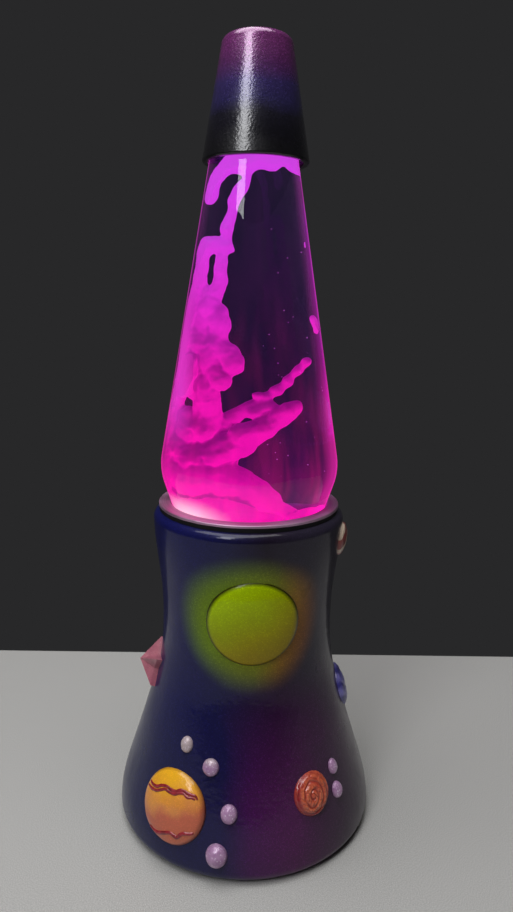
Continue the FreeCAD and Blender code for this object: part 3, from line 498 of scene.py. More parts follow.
def wax_material():
    """Wax with the bulb's light painted into its colour and glow: hot pink below, violet on the far side of
    each lobe, painted shade in its creases, a painted lilac haze at the left, almost white at its foot.
    """
    made, tree = new_material("pink_wax", Roughness=0.4, Specular_IOR_Level=0.05)
    coords = axes(tree)
    height = spread(tree, coords["Z"], 0.165, 0.32)
    bright = ramp(tree, height, [
        (0.0, (250, 16, 164)), (0.35, (232, 24, 170)), (0.6, (224, 44, 196)), (1.0, (206, 66, 220))])
    shaded = ramp(tree, height, [
        (0.0, (136, 8, 104)), (0.35, (134, 12, 112)), (0.6, (172, 32, 158)), (1.0, (190, 74, 210))])
    away = plus(tree, bulb_side(tree), wander(tree, 70, 0.9))
    shade = times(tree, spread(tree, away, -0.25, 0.95), spread(tree, coords["Z"], 0.168, 0.19, 0.2, 1.0))
    lit = blend(tree, shade, bright, shaded)
    # The creases take the violet shaded colour as painted shade.
    lit = blend(tree, spread(tree, mark_value(tree), 0.52, 0.72, 0.0, 0.55), lit, shaded)
    # A painted lilac haze of reflected light over the left of the wax, above its foot.
    left = spread(tree, coords["X"], -0.022, -0.031, 0.0, 0.7)
    pale = times(tree, left, spread(tree, coords["Z"], 0.185, 0.215))
    lit = blend(tree, pale, lit, linear(222, 66, 200))
    # A painted near-white glow at the wax's foot by the left, where the bulb's light is strongest.
    hot = distance_from(tree, PAINTED_GLOW_FOOT, (0.030, 0.030, 0.014))
    lit = blend(tree, spread(tree, hot, 1.0, 0.25), lit, linear(255, 226, 226))
    colour(tree, blend(tree, 0.8, lit, BLACK))
    glow(tree, lit, 1.15)
    bump(tree, noise_value(tree, 160, 2), 0.4 * MM, 0.4)
    return made


def wax_balls():
    """Every strand as overlapping balls, with the pool that covers the floor of the bottle."""
    made = bmesh.new()
    for chain in WAX_STRANDS.values():
        for start, end in zip(chain, chain[1:]):
            low = Vector(start[:3])
            high = Vector(end[:3])
            steps = max(2, math.ceil((high - low).length / (0.4 * min(start[3], end[3]))))
            for step in range(steps + 1):
                share = step / steps
                radius = (start[3] + (end[3] - start[3]) * share) * MM
                centre = low.lerp(high, share) * MM
                bmesh.ops.create_icosphere(
                    made, subdivisions=2, radius=radius, matrix=Matrix.Translation(centre))
    floor = cavity_floor() + WAX_GAP
    rings = 8
    profile = [(0, floor)]
    for step in range(rings + 1):
        height = floor + (POOL_TOP - floor) * step / rings
        profile.append((max(cavity_radius(height + 0.1 * MM) - WAX_GAP, 0.01), height))
    profile.append((0, POOL_TOP))
    points, faces = lathe(profile, 64)
    corners = [made.verts.new(point) for point in points]
    for face in faces:
        made.faces.new([corners[index] for index in face])
    return made


def fused(name, balls):
    """The balls melted into one smooth skin."""
    rough = placed(name + "_balls", mesh_from(name + "_balls", balls))
    remesh = rough.modifiers.new("melt", "REMESH")
    remesh.mode = "VOXEL"
    remesh.voxel_size = WAX_VOXEL
    smooth = rough.modifiers.new("soften", "SMOOTH")
    smooth.factor = 0.5
    smooth.iterations = 4
    seen = bpy.context.evaluated_depsgraph_get()
    made = bpy.data.meshes.new_from_object(rough.evaluated_get(seen))
    bpy.data.objects.remove(rough)
    return made


def creases(mesh):
    """A mark from 0 to 1 for each point of a mesh: over 0.5 in a crease, under 0.5 on a ridge."""
    shape = bmesh.new()
    shape.from_mesh(mesh)
    shape.normal_update()
    marks = {}
    for corner in shape.verts:
        near = [edge.other_vert(corner) for edge in corner.link_edges]
        middle = sum((other.co for other in near), Vector()) / max(len(near), 1)
        marks[corner] = (middle - corner.co).dot(corner.normal) / CREASE_DEPTH
    for _ in range(3):
        marks = {
            corner: (mark + sum(marks[edge.other_vert(corner)] for edge in corner.link_edges))
            / (1 + len(corner.link_edges))
            for corner, mark in marks.items()}
    found = [min(1.0, max(0.0, 0.5 + 0.5 * mark)) for mark in marks.values()]
    shape.free()
    return found


def marked(made, marks):
    """Stores a mark for each point of a piece, for its material to read."""
    values = made.data.attributes.new("mark", "FLOAT", "POINT")
    values.data.foreach_set("value", marks)


def build_wax():
    """One smooth body of wax, kept clear of the glass."""
    mesh = fused("wax_flow", wax_balls())
    floor = cavity_floor() + WAX_GAP
    steps = 400
    reach = (FILL_LEVEL - floor) / steps
    limits = [cavity_radius(floor + reach * step) - WAX_GAP for step in range(steps + 1)]
    for vertex in mesh.vertices:
        point = vertex.co
        point += noise.noise_vector(point * 150) * 0.9 * MM + noise.noise_vector(point * 420) * 0.25 * MM
        point.z = min(max(point.z, floor), FILL_LEVEL - 2 * MM)
        limit = limits[round((point.z - floor) / reach)]
        radius = math.hypot(point.x, point.y)
        if radius > limit:
            point.x *= limit / radius
            point.y *= limit / radius
    mesh.update()
    made = mesh_piece("wax_flow", mesh, "globe", "pink_wax", wax_material())
    # The crease marks place the wax's painted shade.
    marked(made, creases(made.data))
    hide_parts("wax")


def build_bubbles():
    """Specks and small bubbles that hang in the liquid at the right."""
    rng = random.Random(7)
    made = bmesh.new()
    for _ in range(BUBBLE_COUNT):
        height = rng.uniform(0.172, 0.29)
        angle = rng.uniform(-1.2, 0.9)
        reach = rng.uniform(0.3, 0.9) * (cavity_radius(height) - 3 * MM)
        centre = Vector((reach * math.cos(angle), reach * math.sin(angle), height))
        radius = rng.uniform(0.10, 0.28) * MM
        bmesh.ops.create_icosphere(made, subdivisions=2, radius=radius, matrix=Matrix.Translation(centre))
    glint, tree = new_material(
        "bubble_glint", Roughness=0.1, Emission_Color=linear(190, 90, 180), Emission_Strength=0.5)
    colour(tree, ramp(tree, noise_value(tree, 900), [(0.4, (150, 60, 160)), (0.7, (255, 190, 240))]))
    mesh_piece("liquid_bubbles", mesh_from("bubbles", made), "globe", "dyed_liquid", glint)


def build_coil():
    """The spring of steel wire that lies in a ring on the bottle's floor."""
    low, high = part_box("wire_coil")
    turns = 60
    steps = turns * 12
    wire = 0.45 * MM
    coil = (high.z - low.z) / 2 - wire
    ring = (high.x - low.x) / 2 - coil - wire
    middle = (low.z + high.z) / 2
    path = []
    for step in range(steps):
        round_ring = math.tau * step / steps
        round_coil = round_ring * turns
        reach = ring + coil * math.cos(round_coil)
        height = middle + coil * math.sin(round_coil)
        path.append(Vector((reach * math.cos(round_ring), reach * math.sin(round_ring), height)))
    points, faces = tube(path, [wire] * len(path), sides=6, closed=True)
    steel = steel_material("spring_steel", (150, 150, 152), 900)
    made = mesh_object("coil_spring", points, faces, "globe", "spring_steel", steel)
    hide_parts("wire_coil")


# ---- metals, rubber and plastics

def steel_material(name, tone, lines):
    """Bright metal with fine wear and cloudy plating."""
    made, tree = new_material(name, Metallic=1.0)
    cloud = noise_value(tree, 60, 4)
    dark = tuple(channel * 0.72 for channel in tone)
    colour(tree, ramp(tree, cloud, [(0.35, dark), (0.65, tone)]))
    finish_surface(tree, 0.28, 0.48, lines, lines, 0.05 * MM, detail=2)
    return made


def spun_aluminium():
    """Spun metal: fine rings at one height, dulled and a little stained, with a pink cast all over that is a
    painted reflection of the wax's glow.
    """
    made, tree = new_material("spun_aluminium", Metallic=0.85)
    coords = axes(tree)
    squares = plus(tree, times(tree, coords["X"], coords["X"]), times(tree, coords["Y"], coords["Y"]))
    reach = calculate(tree, "SQRT", squares)
    ringed = add_node(tree, "ShaderNodeCombineXYZ", {"X": reach, "Z": coords["Z"]}).outputs[0]
    rings = noise_value(tree, 2600, 2, ringed)
    cloud = noise_value(tree, 70, 4)
    # Both ramps carry the pink cast of the painted glow.
    lines = ramp(tree, rings, [(0.3, (160, 126, 152)), (0.7, (208, 170, 198))])
    stains_and_pink_glow = ramp(tree, cloud, [(0.3, (162, 128, 154)), (0.7, (212, 174, 202))])
    colour(tree, blend(tree, 0.5, lines, stains_and_pink_glow))
    roughen(tree, cloud, 0.42, 0.58)
    bump(tree, rings, 0.03 * MM, 0.6)
    return made


def rubber():
    """Matt black rubber."""
    made, tree = new_material("black_rubber", Specular_IOR_Level=0.25)
    colour(tree, ramp(tree, noise_value(tree, 240, 4), [(0.3, (8, 7, 9)), (0.7, (20, 19, 22))]))
    finish_surface(tree, 0.5, 0.75, 120, 1500, 0.05 * MM, detail=2)
    return made


def plastic_material(name, tone, low, high, grain):
    """Moulded plastic, fibre or enamel with a fine grain."""
    made, tree = new_material(name)
    dark = tuple(channel * 0.75 for channel in tone)
    colour(tree, ramp(tree, noise_value(tree, 140, 4), [(0.35, dark), (0.65, tone)]))
    finish_surface(tree, low, high, 90, grain, 0.06 * MM, detail=2)
    return made


def bulb_glass():
    """The bulb's clear glass, a little uneven."""
    made, tree = new_material(
        "bulb_glass", Transmission_Weight=1.0, IOR=1.45, Base_Color=linear(252, 250, 244))
    roughen(tree, noise_value(tree, 150, 3), 0.0, 0.06)
    return made


def filament():
    """Tungsten that glows, hotter at its middle."""
    made, tree = new_material(
        "filament_wire", Metallic=1.0, Roughness=0.4, Base_Color=linear(190, 150, 90))
    heat = ramp(tree, noise_value(tree, 300, 2), [(0.3, (255, 150, 50)), (0.7, (255, 225, 160))])
    glow(tree, heat, 6.0)
    return made


def build_fittings():
    """Materials for the socket, the bulb, the plate and the other fittings."""
    zinc = steel_material("zinc_steel", (165, 166, 170), 700)
    brass = steel_material("brass", (205, 165, 90), 700)
    phenolic = plastic_material("phenolic", (40, 34, 32), 0.3, 0.5, 700)
    choices = [
        (spun_aluminium(), ["base_core"]),
        (steel_material("crown_steel", (200, 190, 160), 800), ["crown_cap"]),
        (plastic_material("liner_plastic", (225, 223, 216), 0.4, 0.6, 900), ["crown_liner"]),
        (plastic_material("plate_steel", (34, 34, 38), 0.35, 0.55, 1300), ["bottom_plate"]),
        (phenolic, ["bulb_insulator", "socket_body"]),
        (filament(), ["bulb_filament"]),
        (rubber(), ["rim_gasket", "cord_inlet_grommet", "rubber_feet"]),
        (zinc, ["plate_lugs", "plate_screws", "socket_bracket", "bracket_rivets"]),
        (brass, ["socket_nipple", "nipple_nut", "socket_thread", "socket_contact"]),
        (steel_material("bulb_metal", (190, 186, 172), 900), ["bulb_screw_shell", "bulb_contact"]),
        (bulb_glass(), ["bulb_envelope", "bulb_stem"]),
    ]
    for made, names in choices:
        for name in names:
            dress(name, made)
            shade_smooth(NODES[name].data)


# ---- painted skin and cap

def flaked(tree, base, amount):
    """Metallic flakes in a colour: each small cell a little lighter or darker, and the brightest cells
    nearly twice as light, as painted glints.
    """
    sparkle = ramp(tree, cell_value(tree, 2600), [
        (0.0, (0.72, 0.72, 0.78, 1)), (0.8, (1.05, 1.05, 1.1, 1)), (1.0, (1.9, 1.8, 2.1, 1))])
    return blend(tree, amount, base, blend(tree, 1.0, base, sparkle, "MULTIPLY"))


def sprayed(tree, stretch, pore_scale, pore_share, depth, strength):
    """The face of sprayed paint: long soft lumps with pores between them."""
    lumps = noise_value(tree, 1.0, 3, stretched(tree, stretch))
    pores = noise_value(tree, pore_scale, 3)
    bump(tree, plus(tree, lumps, times(tree, pores, pore_share)), depth, strength)


def paint_material():
    """Airbrushed clay under a gloss coat: navy at the left, plum at the lower right, and a green halo."""
    made, tree = new_material(
        "painted_clay", Metallic=0.12, Specular_IOR_Level=0.1, Coat_Weight=0.45, Coat_Roughness=0.08)
    coords = axes(tree)
    drift = wander(tree, 22, 0.03)
    across = plus(tree, coords["X"], drift)
    height = plus(tree, coords["Z"], drift)
    upper = ramp(tree, spread(tree, across, -0.045, 0.045), [
        (0.0, (20, 22, 80)), (0.35, (24, 24, 64)), (0.7, (28, 20, 36)), (1.0, (48, 44, 58))])
    lower = ramp(tree, spread(tree, across, -0.062, 0.062), [
        (0.0, (20, 24, 70)), (0.35, (28, 24, 68)), (0.55, (68, 20, 78)), (0.8, (78, 24, 76)),
        (1.0, (56, 38, 58))])
    paint = blend(tree, spread(tree, height, 0.03, 0.10), lower, upper)
    low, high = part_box("green_planet")
    centre = (low + high) / 2
    halo = plus(tree, distance_from(tree, centre, (0.0385, 0.030, 0.0345)), times(tree, drift, 6.0))
    slant = 0.25
    lean = plus(tree, across, times(tree, height, -slant))
    green = ramp(tree, spread(tree, lean, -0.02 - slant * centre.z, 0.035 - slant * centre.z), [
        (0.0, (104, 132, 1)), (0.55, (116, 124, 2)), (0.8, (146, 106, 10)), (1.0, (138, 84, 24))])
    paint = blend(tree, spread(tree, halo, 1.02, 0.55), paint, green)
    colour(tree, flaked(tree, paint, 0.6))
    roughen(tree, noise_value(tree, 45, 4), 0.26, 0.42)
    sprayed(tree, (38, 38, 18), 420, 0.16, 0.9 * MM, 0.5)
    return made


def cap_material():
    """The cap's paint fades from plum at the top through indigo to black at the rim."""
    made, tree = new_material(
        "painted_cap", Metallic=0.25, Specular_IOR_Level=0.5, Coat_Weight=0.8, Coat_Roughness=0.06)
    low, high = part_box("decorative_cap")
    height = spread(tree, plus(tree, axes(tree)["Z"], wander(tree, 40, 0.012)), low.z, high.z)
    paint = ramp(tree, height, [
        (0.0, (18, 17, 20)), (0.22, (28, 26, 38)), (0.4, (46, 40, 84)), (0.62, (56, 44, 96)),
        (0.85, (94, 42, 96)), (1.0, (122, 52, 112))])
    colour(tree, flaked(tree, paint, 0.8))
    roughen(tree, noise_value(tree, 60, 4), 0.22, 0.36)
    sprayed(tree, (60, 60, 30), 1000, 0.4, 0.5 * MM, 0.6)
    return made


# ---- clay planets, pearls and star

def skin_frame(low, high):
    """The middle of a clay piece on the skin, and its directions across, up the skin and outward."""
    centre = (low + high) / 2
    around = Vector((centre.x, centre.y, 0)).normalized()
    across = UP.cross(around)
    reach = []
    for height in (centre.z - TILT_REACH, centre.z + TILT_REACH):
        _, found, _, _ = NODES["base_skin"].ray_cast(around * 0.2 + UP * height, -around)
        reach.append(Vector(found))
    upward = (reach[1] - reach[0]).normalized()
    return centre, across, upward, across.cross(upward)


def pressed_on(node, start, outward):
    """The point of a clay piece under a place outside it, or None beside the piece."""
    hit, found, _, _ = node.ray_cast(start + outward * PROBE, -outward, distance=2 * PROBE)
    return Vector(found) if hit else None


def outline_reach(node, centre, direction, outward, longest):
    """How far a clay piece reaches from its middle in a direction, seen from outside."""
    inside = 0.0
    outside = longest
    for _ in range(12):
        middle = (inside + outside) / 2
        if pressed_on(node, centre + direction * middle, outward):
            inside = middle
        else:
            outside = middle
    return inside


def sculpted(node_name, low, high, relief, rings, spokes):
    """Points, faces and marks of a clay piece: the CAD dome with a relief pressed into its face.

    relief(across, up, share) takes a place on the face in millimetres, with share 0 in the middle and
    1 at the edge, and gives the height change in millimetres and a mark from 0 to 1 for its material.
    """
    node = NODES[node_name]
    centre, across, upward, outward = skin_frame(low, high)
    longest = (high - low).length / 2
    points = []
    marks = []
    for spoke in range(spokes):
        angle = math.tau * spoke / spokes
        direction = across * math.cos(angle) + upward * math.sin(angle)
        reach = outline_reach(node, centre, direction, outward, longest) * EDGE_SHARE
        for ring in range(1, rings + 1):
            share = 1 - (1 - ring / rings) ** EDGE_CROWDING
            side = reach * share / MM
            change, mark = relief(side * math.cos(angle), side * math.sin(angle), share)
            found = pressed_on(node, centre + direction * (reach * share), outward)
            points.append(found + outward * (change * MM))
            marks.append(mark)
        points.append(points[-1] - outward * SKIRT)
        marks.append(marks[-1])
    change, mark = relief(0, 0, 0)
    top = len(points)
    points.append(pressed_on(node, centre, outward) + outward * (change * MM))
    points.append(sum((points[spoke * (rings + 1) + rings] for spoke in range(spokes)), Vector()) / spokes)
    marks += [mark, mark]
    faces = []
    for spoke in range(spokes):
        here = spoke * (rings + 1)
        there = (spoke + 1) % spokes * (rings + 1)
        for ring in range(rings):
            faces.append((here + ring, here + ring + 1, there + ring + 1, there + ring))
        faces.append((top, here, there))
        faces.append((top + 1, there + rings, here + rings))
    return points, faces, marks


def clay_piece(name, node_names, slot_name, points, faces, marks, material):
    """A sculpted piece on the base that takes the place of CAD nodes."""
    made = mesh_object(name, points, faces, "base", slot_name, material)
    marked(made, marks)
    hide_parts(*node_names)


def wrinkle(across, up, size, seed):
    """Smooth noise from -1 to 1 over a face."""
    return noise.noise(Vector((across / size, up / size, seed)))


def rim_lip(share):
    """A face that rolls over at its edge, in millimetres."""
    return -0.7 * max(0.0, (share - 0.9) / 0.1) ** 2


def dome_relief(seed, depth=0.12, size=4.0):
    """A face rolled by hand: a little uneven, with a rounded edge."""
    def relief(across, up, share):
        lumps = wrinkle(across, up, size, seed) + 0.4 * wrinkle(across, up, size / 3, seed + 5)
        # The mark rises over the outer edge, where the materials paint shade round the piece.
        return rim_lip(share) + depth * lumps, max(0.0, (share - 0.93) / 0.07)
    return relief


def spiral_relief(across, up, share):
    """A strip of clay rolled up like a rose: uneven creases between its turns, deepest in the middle."""
    side = across + 1.0 + 0.5 * wrinkle(across, up, 3.0, 3.0)
    rise = (up + 0.4) * 0.8 + 0.5 * wrinkle(across, up, 3.5, 6.0)
    turn = math.atan2(rise + 0.3 * side, side) / math.tau
    phase = (math.hypot(side, rise) / 2.9 + turn) % 1.0
    crease = math.exp(-(min(phase, 1 - phase) / 0.16) ** 2)
    uneven = 0.55 + 0.6 * wrinkle(across, up, 2.6, 9.0)
    crease *= min(1.0, max(0.15, uneven + 0.6 * (1 - share)))
    fold = 0.6 * math.exp(-(wrinkle(across * 0.5 + up, up * 0.4 - across, 1.9, 12.0) / 0.1) ** 2)
    # The mark is painted shade: in the creases and folds, and over the lower left side near the edge.
    outside = 0.8 * min(1.0, max(0.0, (share - 0.72) / 0.15)) * max(0.0, -across / 9.0, -up / 9.0)
    mark = min(1.0, max(crease, fold) + outside)
    return rim_lip(share) + 0.3 * math.sin(math.pi * phase) - 0.6 * max(crease, fold) - 0.15, mark


def stripe_relief(across, up, share):
    """Diagonal stripes of a second clay laid into the face."""
    place_along = (0.75 * up - 0.65 * across) / 7.0 + 0.06 * wrinkle(across, up, 3.0, 1.0) + 0.15
    band = math.sin(math.tau * place_along)
    mark = min(1.0, max(0.0, (band - 0.35) / 0.12))
    return rim_lip(share) + 0.12 * mark + 0.06 * wrinkle(across, up, 1.5, 2.0), mark


def marble_relief(across, up, share):
    """Two clays twisted together, with shallow folds."""
    turned = across + 2.5 * wrinkle(across, up, 6.0, 4.0)
    band = 0.5 + 0.5 * math.sin(up / 1.5 + turned * 0.45 + 2.0 * wrinkle(across, up, 3.5, 7.0))
    return rim_lip(share) + 0.25 * band - 0.2, band


def loose_parts(node_name):
    """(low, high) of each separate solid in a CAD node, in the mesh's order."""
    mesh = NODES[node_name].data
    made = bmesh.new()
    made.from_mesh(mesh)
    bmesh.ops.remove_doubles(made, verts=made.verts, dist=1e-6)
    taken = set()
    found = []
    for start in made.verts:
        if start in taken:
            continue
        taken.add(start)
        stack = [start]
        part = []
        while stack:
            vertex = stack.pop()
            part.append(vertex.co.copy())
            for edge in vertex.link_edges:
                other = edge.other_vert(vertex)
                if other not in taken:
                    taken.add(other)
                    stack.append(other)
        low = Vector([min(point[axis] for point in part) for axis in range(3)])
        high = Vector([max(point[axis] for point in part) for axis in range(3)])
        found.append((low, high))
    made.free()
    return found


def green_clay():
    """Yellow-green, brighter at the top, browner at the lower right, with painted shade in its edge groove.
    """
    made, tree = new_material("green_clay", Specular_IOR_Level=0.08, Coat_Weight=0.25, Coat_Roughness=0.08)
    low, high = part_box("green_planet")
    coords = axes(tree)
    lean = plus(tree, coords["Z"], times(tree, coords["X"], -0.55))
    lean = plus(tree, lean, wander(tree, 60, 0.012))
    face = ramp(tree, spread(tree, lean, low.z - 2 * MM, high.z + 2 * MM), [
        (0.0, (152, 132, 20)), (0.25, (158, 152, 4)), (0.6, (152, 164, 1)), (1.0, (160, 190, 2))])
    # Painted shade in the groove round the edge.
    face = blend(tree, mark_value(tree), face, linear(38, 34, 10))
    colour(tree, flaked(tree, face, 0.4))
    finish_surface(tree, 0.28, 0.45, 130, 420, 0.12 * MM)
    return made


def orange_clay():
    """Yellow at the top left, orange across the middle and dusky red below, with painted shade round its
    edge.
    """
    made, tree = new_material("orange_clay", Specular_IOR_Level=0.2, Coat_Weight=0.6, Coat_Roughness=0.08)
    low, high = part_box("orange_planet")
    coords = axes(tree)
    slant = 0.35
    lean = plus(tree, coords["Z"], times(tree, coords["X"], -slant))
    lean = plus(tree, lean, wander(tree, 75, 0.016, 4))
    shift = -(low.x + high.x) / 2 * slant
    face = ramp(tree, spread(tree, lean, low.z + shift, high.z + shift), [
        (0.0, (206, 108, 74)), (0.2, (200, 102, 72)), (0.45, (196, 100, 72)),
        (0.65, (214, 134, 72)), (0.82, (230, 154, 56)), (1.0, (240, 176, 36))])
    # Painted shade round the edge.
    face = blend(tree, times(tree, mark_value(tree), 0.6), face, linear(96, 40, 30))
    colour(tree, flaked(tree, face, 0.2))
    finish_surface(tree, 0.3, 0.5, 130, 420, 0.22 * MM, 0.6)
    return made


def marked_clay(name, face_stops, mark_colour, strength):
    """Marbled clay with a second colour where the relief left its mark: bands of a second clay on the
    striped and violet planets, painted shade in the creases of the swirl.
    """
    made, tree = new_material(name, Coat_Weight=0.5, Coat_Roughness=0.12)
    face = ramp(tree, noise_value(tree, 150, 4), face_stops)
    face = blend(tree, times(tree, mark_value(tree), strength), face, linear(*mark_colour))
    colour(tree, flaked(tree, face, 0.2))
    finish_surface(tree, 0.3, 0.5, 130, 520, 0.12 * MM, 0.6)
    return made


def pearl_clay():
    """Lilac clay with mica specks and painted shade round each moon's edge; the highest moon is paler than
    the rest.
    """
    made, tree = new_material("pearl_clay", Coat_Weight=0.5, Coat_Roughness=0.15, Metallic=0.1)
    face = ramp(tree, noise_value(tree, 260, 3), [(0.3, (158, 114, 158)), (0.7, (192, 152, 190))])
    face = blend(tree, spread(tree, axes(tree)["Z"], 0.051, 0.055), face, linear(190, 172, 176))
    specks = cell_value(tree, 2200)
    face = blend(tree, spread(tree, specks, 0.9, 0.96, 0.0, 0.7), face, linear(235, 220, 238))
    # Painted shade round each moon's edge.
    colour(tree, blend(tree, times(tree, mark_value(tree), 0.4), face, linear(90, 60, 96)))
    finish_surface(tree, 0.3, 0.5, 200, 900, 0.08 * MM, 0.6)
    return made


def marbled_clay(name, scale, stops, flakes, cloud, grain, depth):
    """Clay of one kind with a coat over it."""
    made, tree = new_material(name, Coat_Weight=0.5, Coat_Roughness=0.12)
    colour(tree, flaked(tree, ramp(tree, noise_value(tree, scale, 4), stops), flakes))
    finish_surface(tree, 0.3, 0.5, cloud, grain, depth, 0.6)
    return made


def red_clay():
    """Dark red clay for the strings on the orange planet."""
    stops = [(0.35, (118, 12, 26)), (0.65, (160, 34, 48))]
    return marbled_clay("red_string", 420, stops, 0.2, 300, 900, 0.1 * MM)


def star_clay():
    """Dusty pink clay."""
    stops = [(0.3, (150, 78, 98)), (0.7, (188, 116, 128))]
    return marbled_clay("pink_clay", 130, stops, 0.25, 120, 260, 0.3 * MM)


def build_planets():
    """The five clay planets, each with its own face."""
    coral = [(0.3, (196, 78, 62)), (0.55, (212, 104, 66)), (0.75, (222, 128, 96))]
    red = [(0.3, (122, 44, 46)), (0.7, (152, 66, 62))]
    violet = [(0.3, (40, 40, 104)), (0.7, (66, 60, 140))]
    # The swirl's dark red marks are painted shade in its creases.
    coral_shaded_creases = marked_clay("coral_clay", coral, (142, 22, 34), 0.95)
    cream_bands = marked_clay("red_clay", red, (205, 184, 164), 1.0)
    violet_bands = marked_clay("violet_clay", violet, (128, 122, 190), 0.8)
    plans = [
        ("green_planet", "green_clay", dome_relief(1.0, 0.06, 9.0), green_clay()),
        ("orange_planet", "orange_clay", dome_relief(2.0, 0.16, 7.0), orange_clay()),
        ("swirl_planet", "coral_clay", spiral_relief, coral_shaded_creases),
        ("striped_planet", "red_clay", stripe_relief, cream_bands),
        ("violet_planet", "violet_clay", marble_relief, violet_bands)]
    for node_name, slot_name, relief, made in plans:
        low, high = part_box(node_name)
        points, faces, marks = sculpted(node_name, low, high, relief, 46, 128)
        clay_piece(node_name + "_face", [node_name], slot_name, points, faces, marks, made)


def build_pearls():
    """Nine small moons, each pinched a little differently."""
    points = []
    faces = []
    marks = []
    for index, (low, high) in enumerate(loose_parts("moon_pearls")):
        relief = dome_relief(11.0 + index * 3.7, 0.22, 2.6)
        bead_points, bead_faces, bead_marks = sculpted("moon_pearls", low, high, relief, 16, 40)
        faces += [tuple(len(points) + corner for corner in face) for face in bead_faces]
        points += bead_points
        marks += bead_marks
    clay_piece("moon_pearl_beads", ["moon_pearls"], "pearl_clay", points, faces, marks, pearl_clay())


# The wavy strings of red clay on the orange planet: (across, up, radius) in millimetres.
RED_STRINGS = {
    "red_string_upper": [
        (-13.9, 6.8, 0.5), (-11.7, 6.2, 0.7), (-8.6, 6.4, 0.8), (-5.8, 7.9, 0.8), (-2.8, 8.7, 0.7),
        (0.3, 8.2, 0.8), (2.8, 8.4, 0.8), (4.7, 9.6, 0.7), (7.0, 9.6, 0.8), (9.5, 9.1, 0.8),
        (11.7, 9.0, 0.7), (13.1, 7.8, 0.5)],
    "red_string_second": [
        (-14.6, 4.7, 0.5), (-11.9, 4.4, 0.7), (-8.3, 4.8, 0.7), (-5.4, 6.2, 0.7), (-3.1, 7.3, 0.7),
        (-0.3, 7.0, 0.7), (2.2, 7.2, 0.8), (4.7, 8.3, 0.7), (6.6, 8.6, 0.7), (8.7, 7.7, 0.7),
        (10.6, 8.0, 0.6), (12.2, 7.6, 0.5)],
    "red_string_lower": [
        (-9.1, -11.9, 0.6), (-6.6, -12.6, 0.8), (-3.8, -12.8, 0.9), (-0.2, -11.4, 0.9), (3.1, -10.0, 0.8),
        (5.0, -10.4, 0.9), (7.0, -10.7, 1.0), (8.8, -8.7, 0.9), (10.4, -7.8, 0.9), (12.3, -7.4, 0.8),
        (14.2, -6.6, 0.6)],
}


def curve_through(stops, steps):
    """Points along a smooth curve through the stops, each a tuple of numbers."""
    found = []
    for index in range(len(stops) - 1):
        before = stops[max(index - 1, 0)]
        start = stops[index]
        end = stops[index + 1]
        after = stops[min(index + 2, len(stops) - 1)]
        for step in range(steps):
            s = step / steps
            found.append(tuple(
                0.5 * (2 * b + (c - a) * s + (2 * a - 5 * b + 4 * c - d) * s ** 2
                       + (3 * b - a - 3 * c + d) * s ** 3)
                for a, b, c, d in zip(before, start, end, after)))
    found.append(stops[-1])
    return found


def build_strings():
    """Wavy strings of red clay pressed half into the orange planet, the upper two side by side."""
    low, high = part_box("orange_planet")
    centre, sideways, upward, outward = skin_frame(low, high)
    red = red_clay()
    for name, stops in RED_STRINGS.items():
        path = []
        radii = []
        for across, up, radius in curve_through(stops, 8):
            start = centre + (sideways * across + upward * up) * MM
            point = pressed_on(NODES["orange_planet"], start, outward)
            if point:
                path.append(point)
                radii.append(radius * MM * (1 + 0.12 * noise.noise(Vector((across, up, 4.0)))))
        points, faces = tube(path, radii, sides=12, flatness=0.6, out=outward)
        mesh_object(name, points, faces, "base", "orange_clay", red)


def build_painted_shell():
    """The painted skin, the cap and the star keep their CAD shapes."""
    dress("base_skin", paint_material())
    dress("decorative_cap", cap_material())
    dress("pink_star", star_clay())
    for name in ("base_skin", "decorative_cap"):
        shade_smooth(NODES[name].data)


build_fittings()
build_bottle()
build_liquid()
build_wax()
build_bubbles()
build_coil()
build_painted_shell()
build_strings()
build_planets()
build_pearls()


# ---- table, light and camera

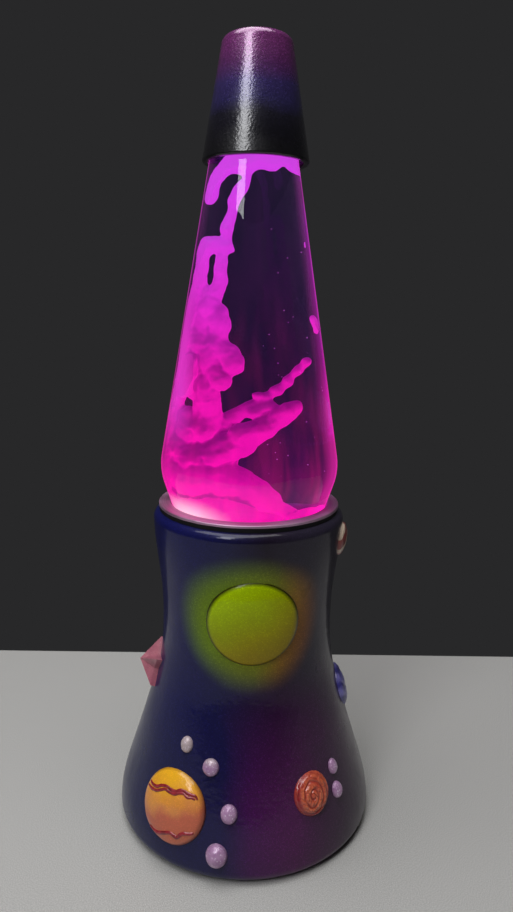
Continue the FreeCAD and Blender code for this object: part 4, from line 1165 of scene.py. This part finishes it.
def build_table():
    """A plain pale table top."""
    made = bmesh.new()
    low = Vector((-TABLE_HALF_WIDTH, TABLE_FRONT, -TABLE_THICKNESS))
    high = Vector((TABLE_HALF_WIDTH, TABLE_BACK, 0))
    matrix = Matrix.Translation((low + high) / 2) @ Matrix.Diagonal((*(high - low), 1))
    bmesh.ops.create_cube(made, size=1, matrix=matrix)
    mesh = mesh_from("table", made)
    stone, tree = new_material("table_top", Roughness=0.6)
    grain = noise_value(tree, 2200, 4)
    colour(tree, ramp(tree, grain, [(0.3, (148, 147, 145)), (0.7, (204, 203, 200))]))
    mesh.materials.append(stone)
    table = placed("table", mesh)


def area_light(name, position, target, size, power, tint=(1, 1, 1)):
    """A soft rectangular light that points at the target."""
    data = bpy.data.lights.new(name, "AREA")
    data.shape = "RECTANGLE"
    data.size, data.size_y = size
    data.energy = power
    data.color = tint
    made = placed(name, data)
    made.location = position
    aim = Vector(target) - Vector(position)
    made.rotation_euler = aim.to_track_quat("-Z", "Y").to_euler()


def build_light():
    """A large light overhead, a window in front at the left, and a dim room."""
    area_light("overhead", (-0.12, -0.10, 1.0), (0, 0, 0.1), (0.8, 0.8), 8.0)
    area_light("window", (-0.49, -0.86, 1.05), (0, 0, 0.25), (0.38, 0.56), 6.0, (0.97, 0.98, 1.0))
    world = bpy.data.worlds.new("room")
    world.use_nodes = True
    world.node_tree.nodes["Background"].inputs["Color"].default_value = linear(40, 40, 41)
    bpy.context.scene.world = world


def build_camera():
    """The camera, turned by its yaw, pitch and roll."""
    data = bpy.data.cameras.new("camera")
    data.lens = CAMERA_LENS
    data.sensor_width = SENSOR_LONG_SIDE
    ahead = Vector((
        math.sin(CAMERA_YAW) * math.cos(CAMERA_PITCH),
        math.cos(CAMERA_YAW) * math.cos(CAMERA_PITCH),
        -math.sin(CAMERA_PITCH)))
    level = Vector((math.cos(CAMERA_YAW), -math.sin(CAMERA_YAW), 0))
    above = level.cross(ahead)
    right = level * math.cos(CAMERA_ROLL) + above * math.sin(CAMERA_ROLL)
    above = right.cross(ahead)
    turn = Matrix((right, above, -ahead)).transposed()
    made = placed("camera", data)
    made.matrix_world = Matrix.Translation(CAMERA_PLACE) @ turn.to_4x4()
    bpy.context.scene.camera = made


build_table()
build_light()
build_camera()
bpy.context.scene.view_settings.view_transform = "Standard"
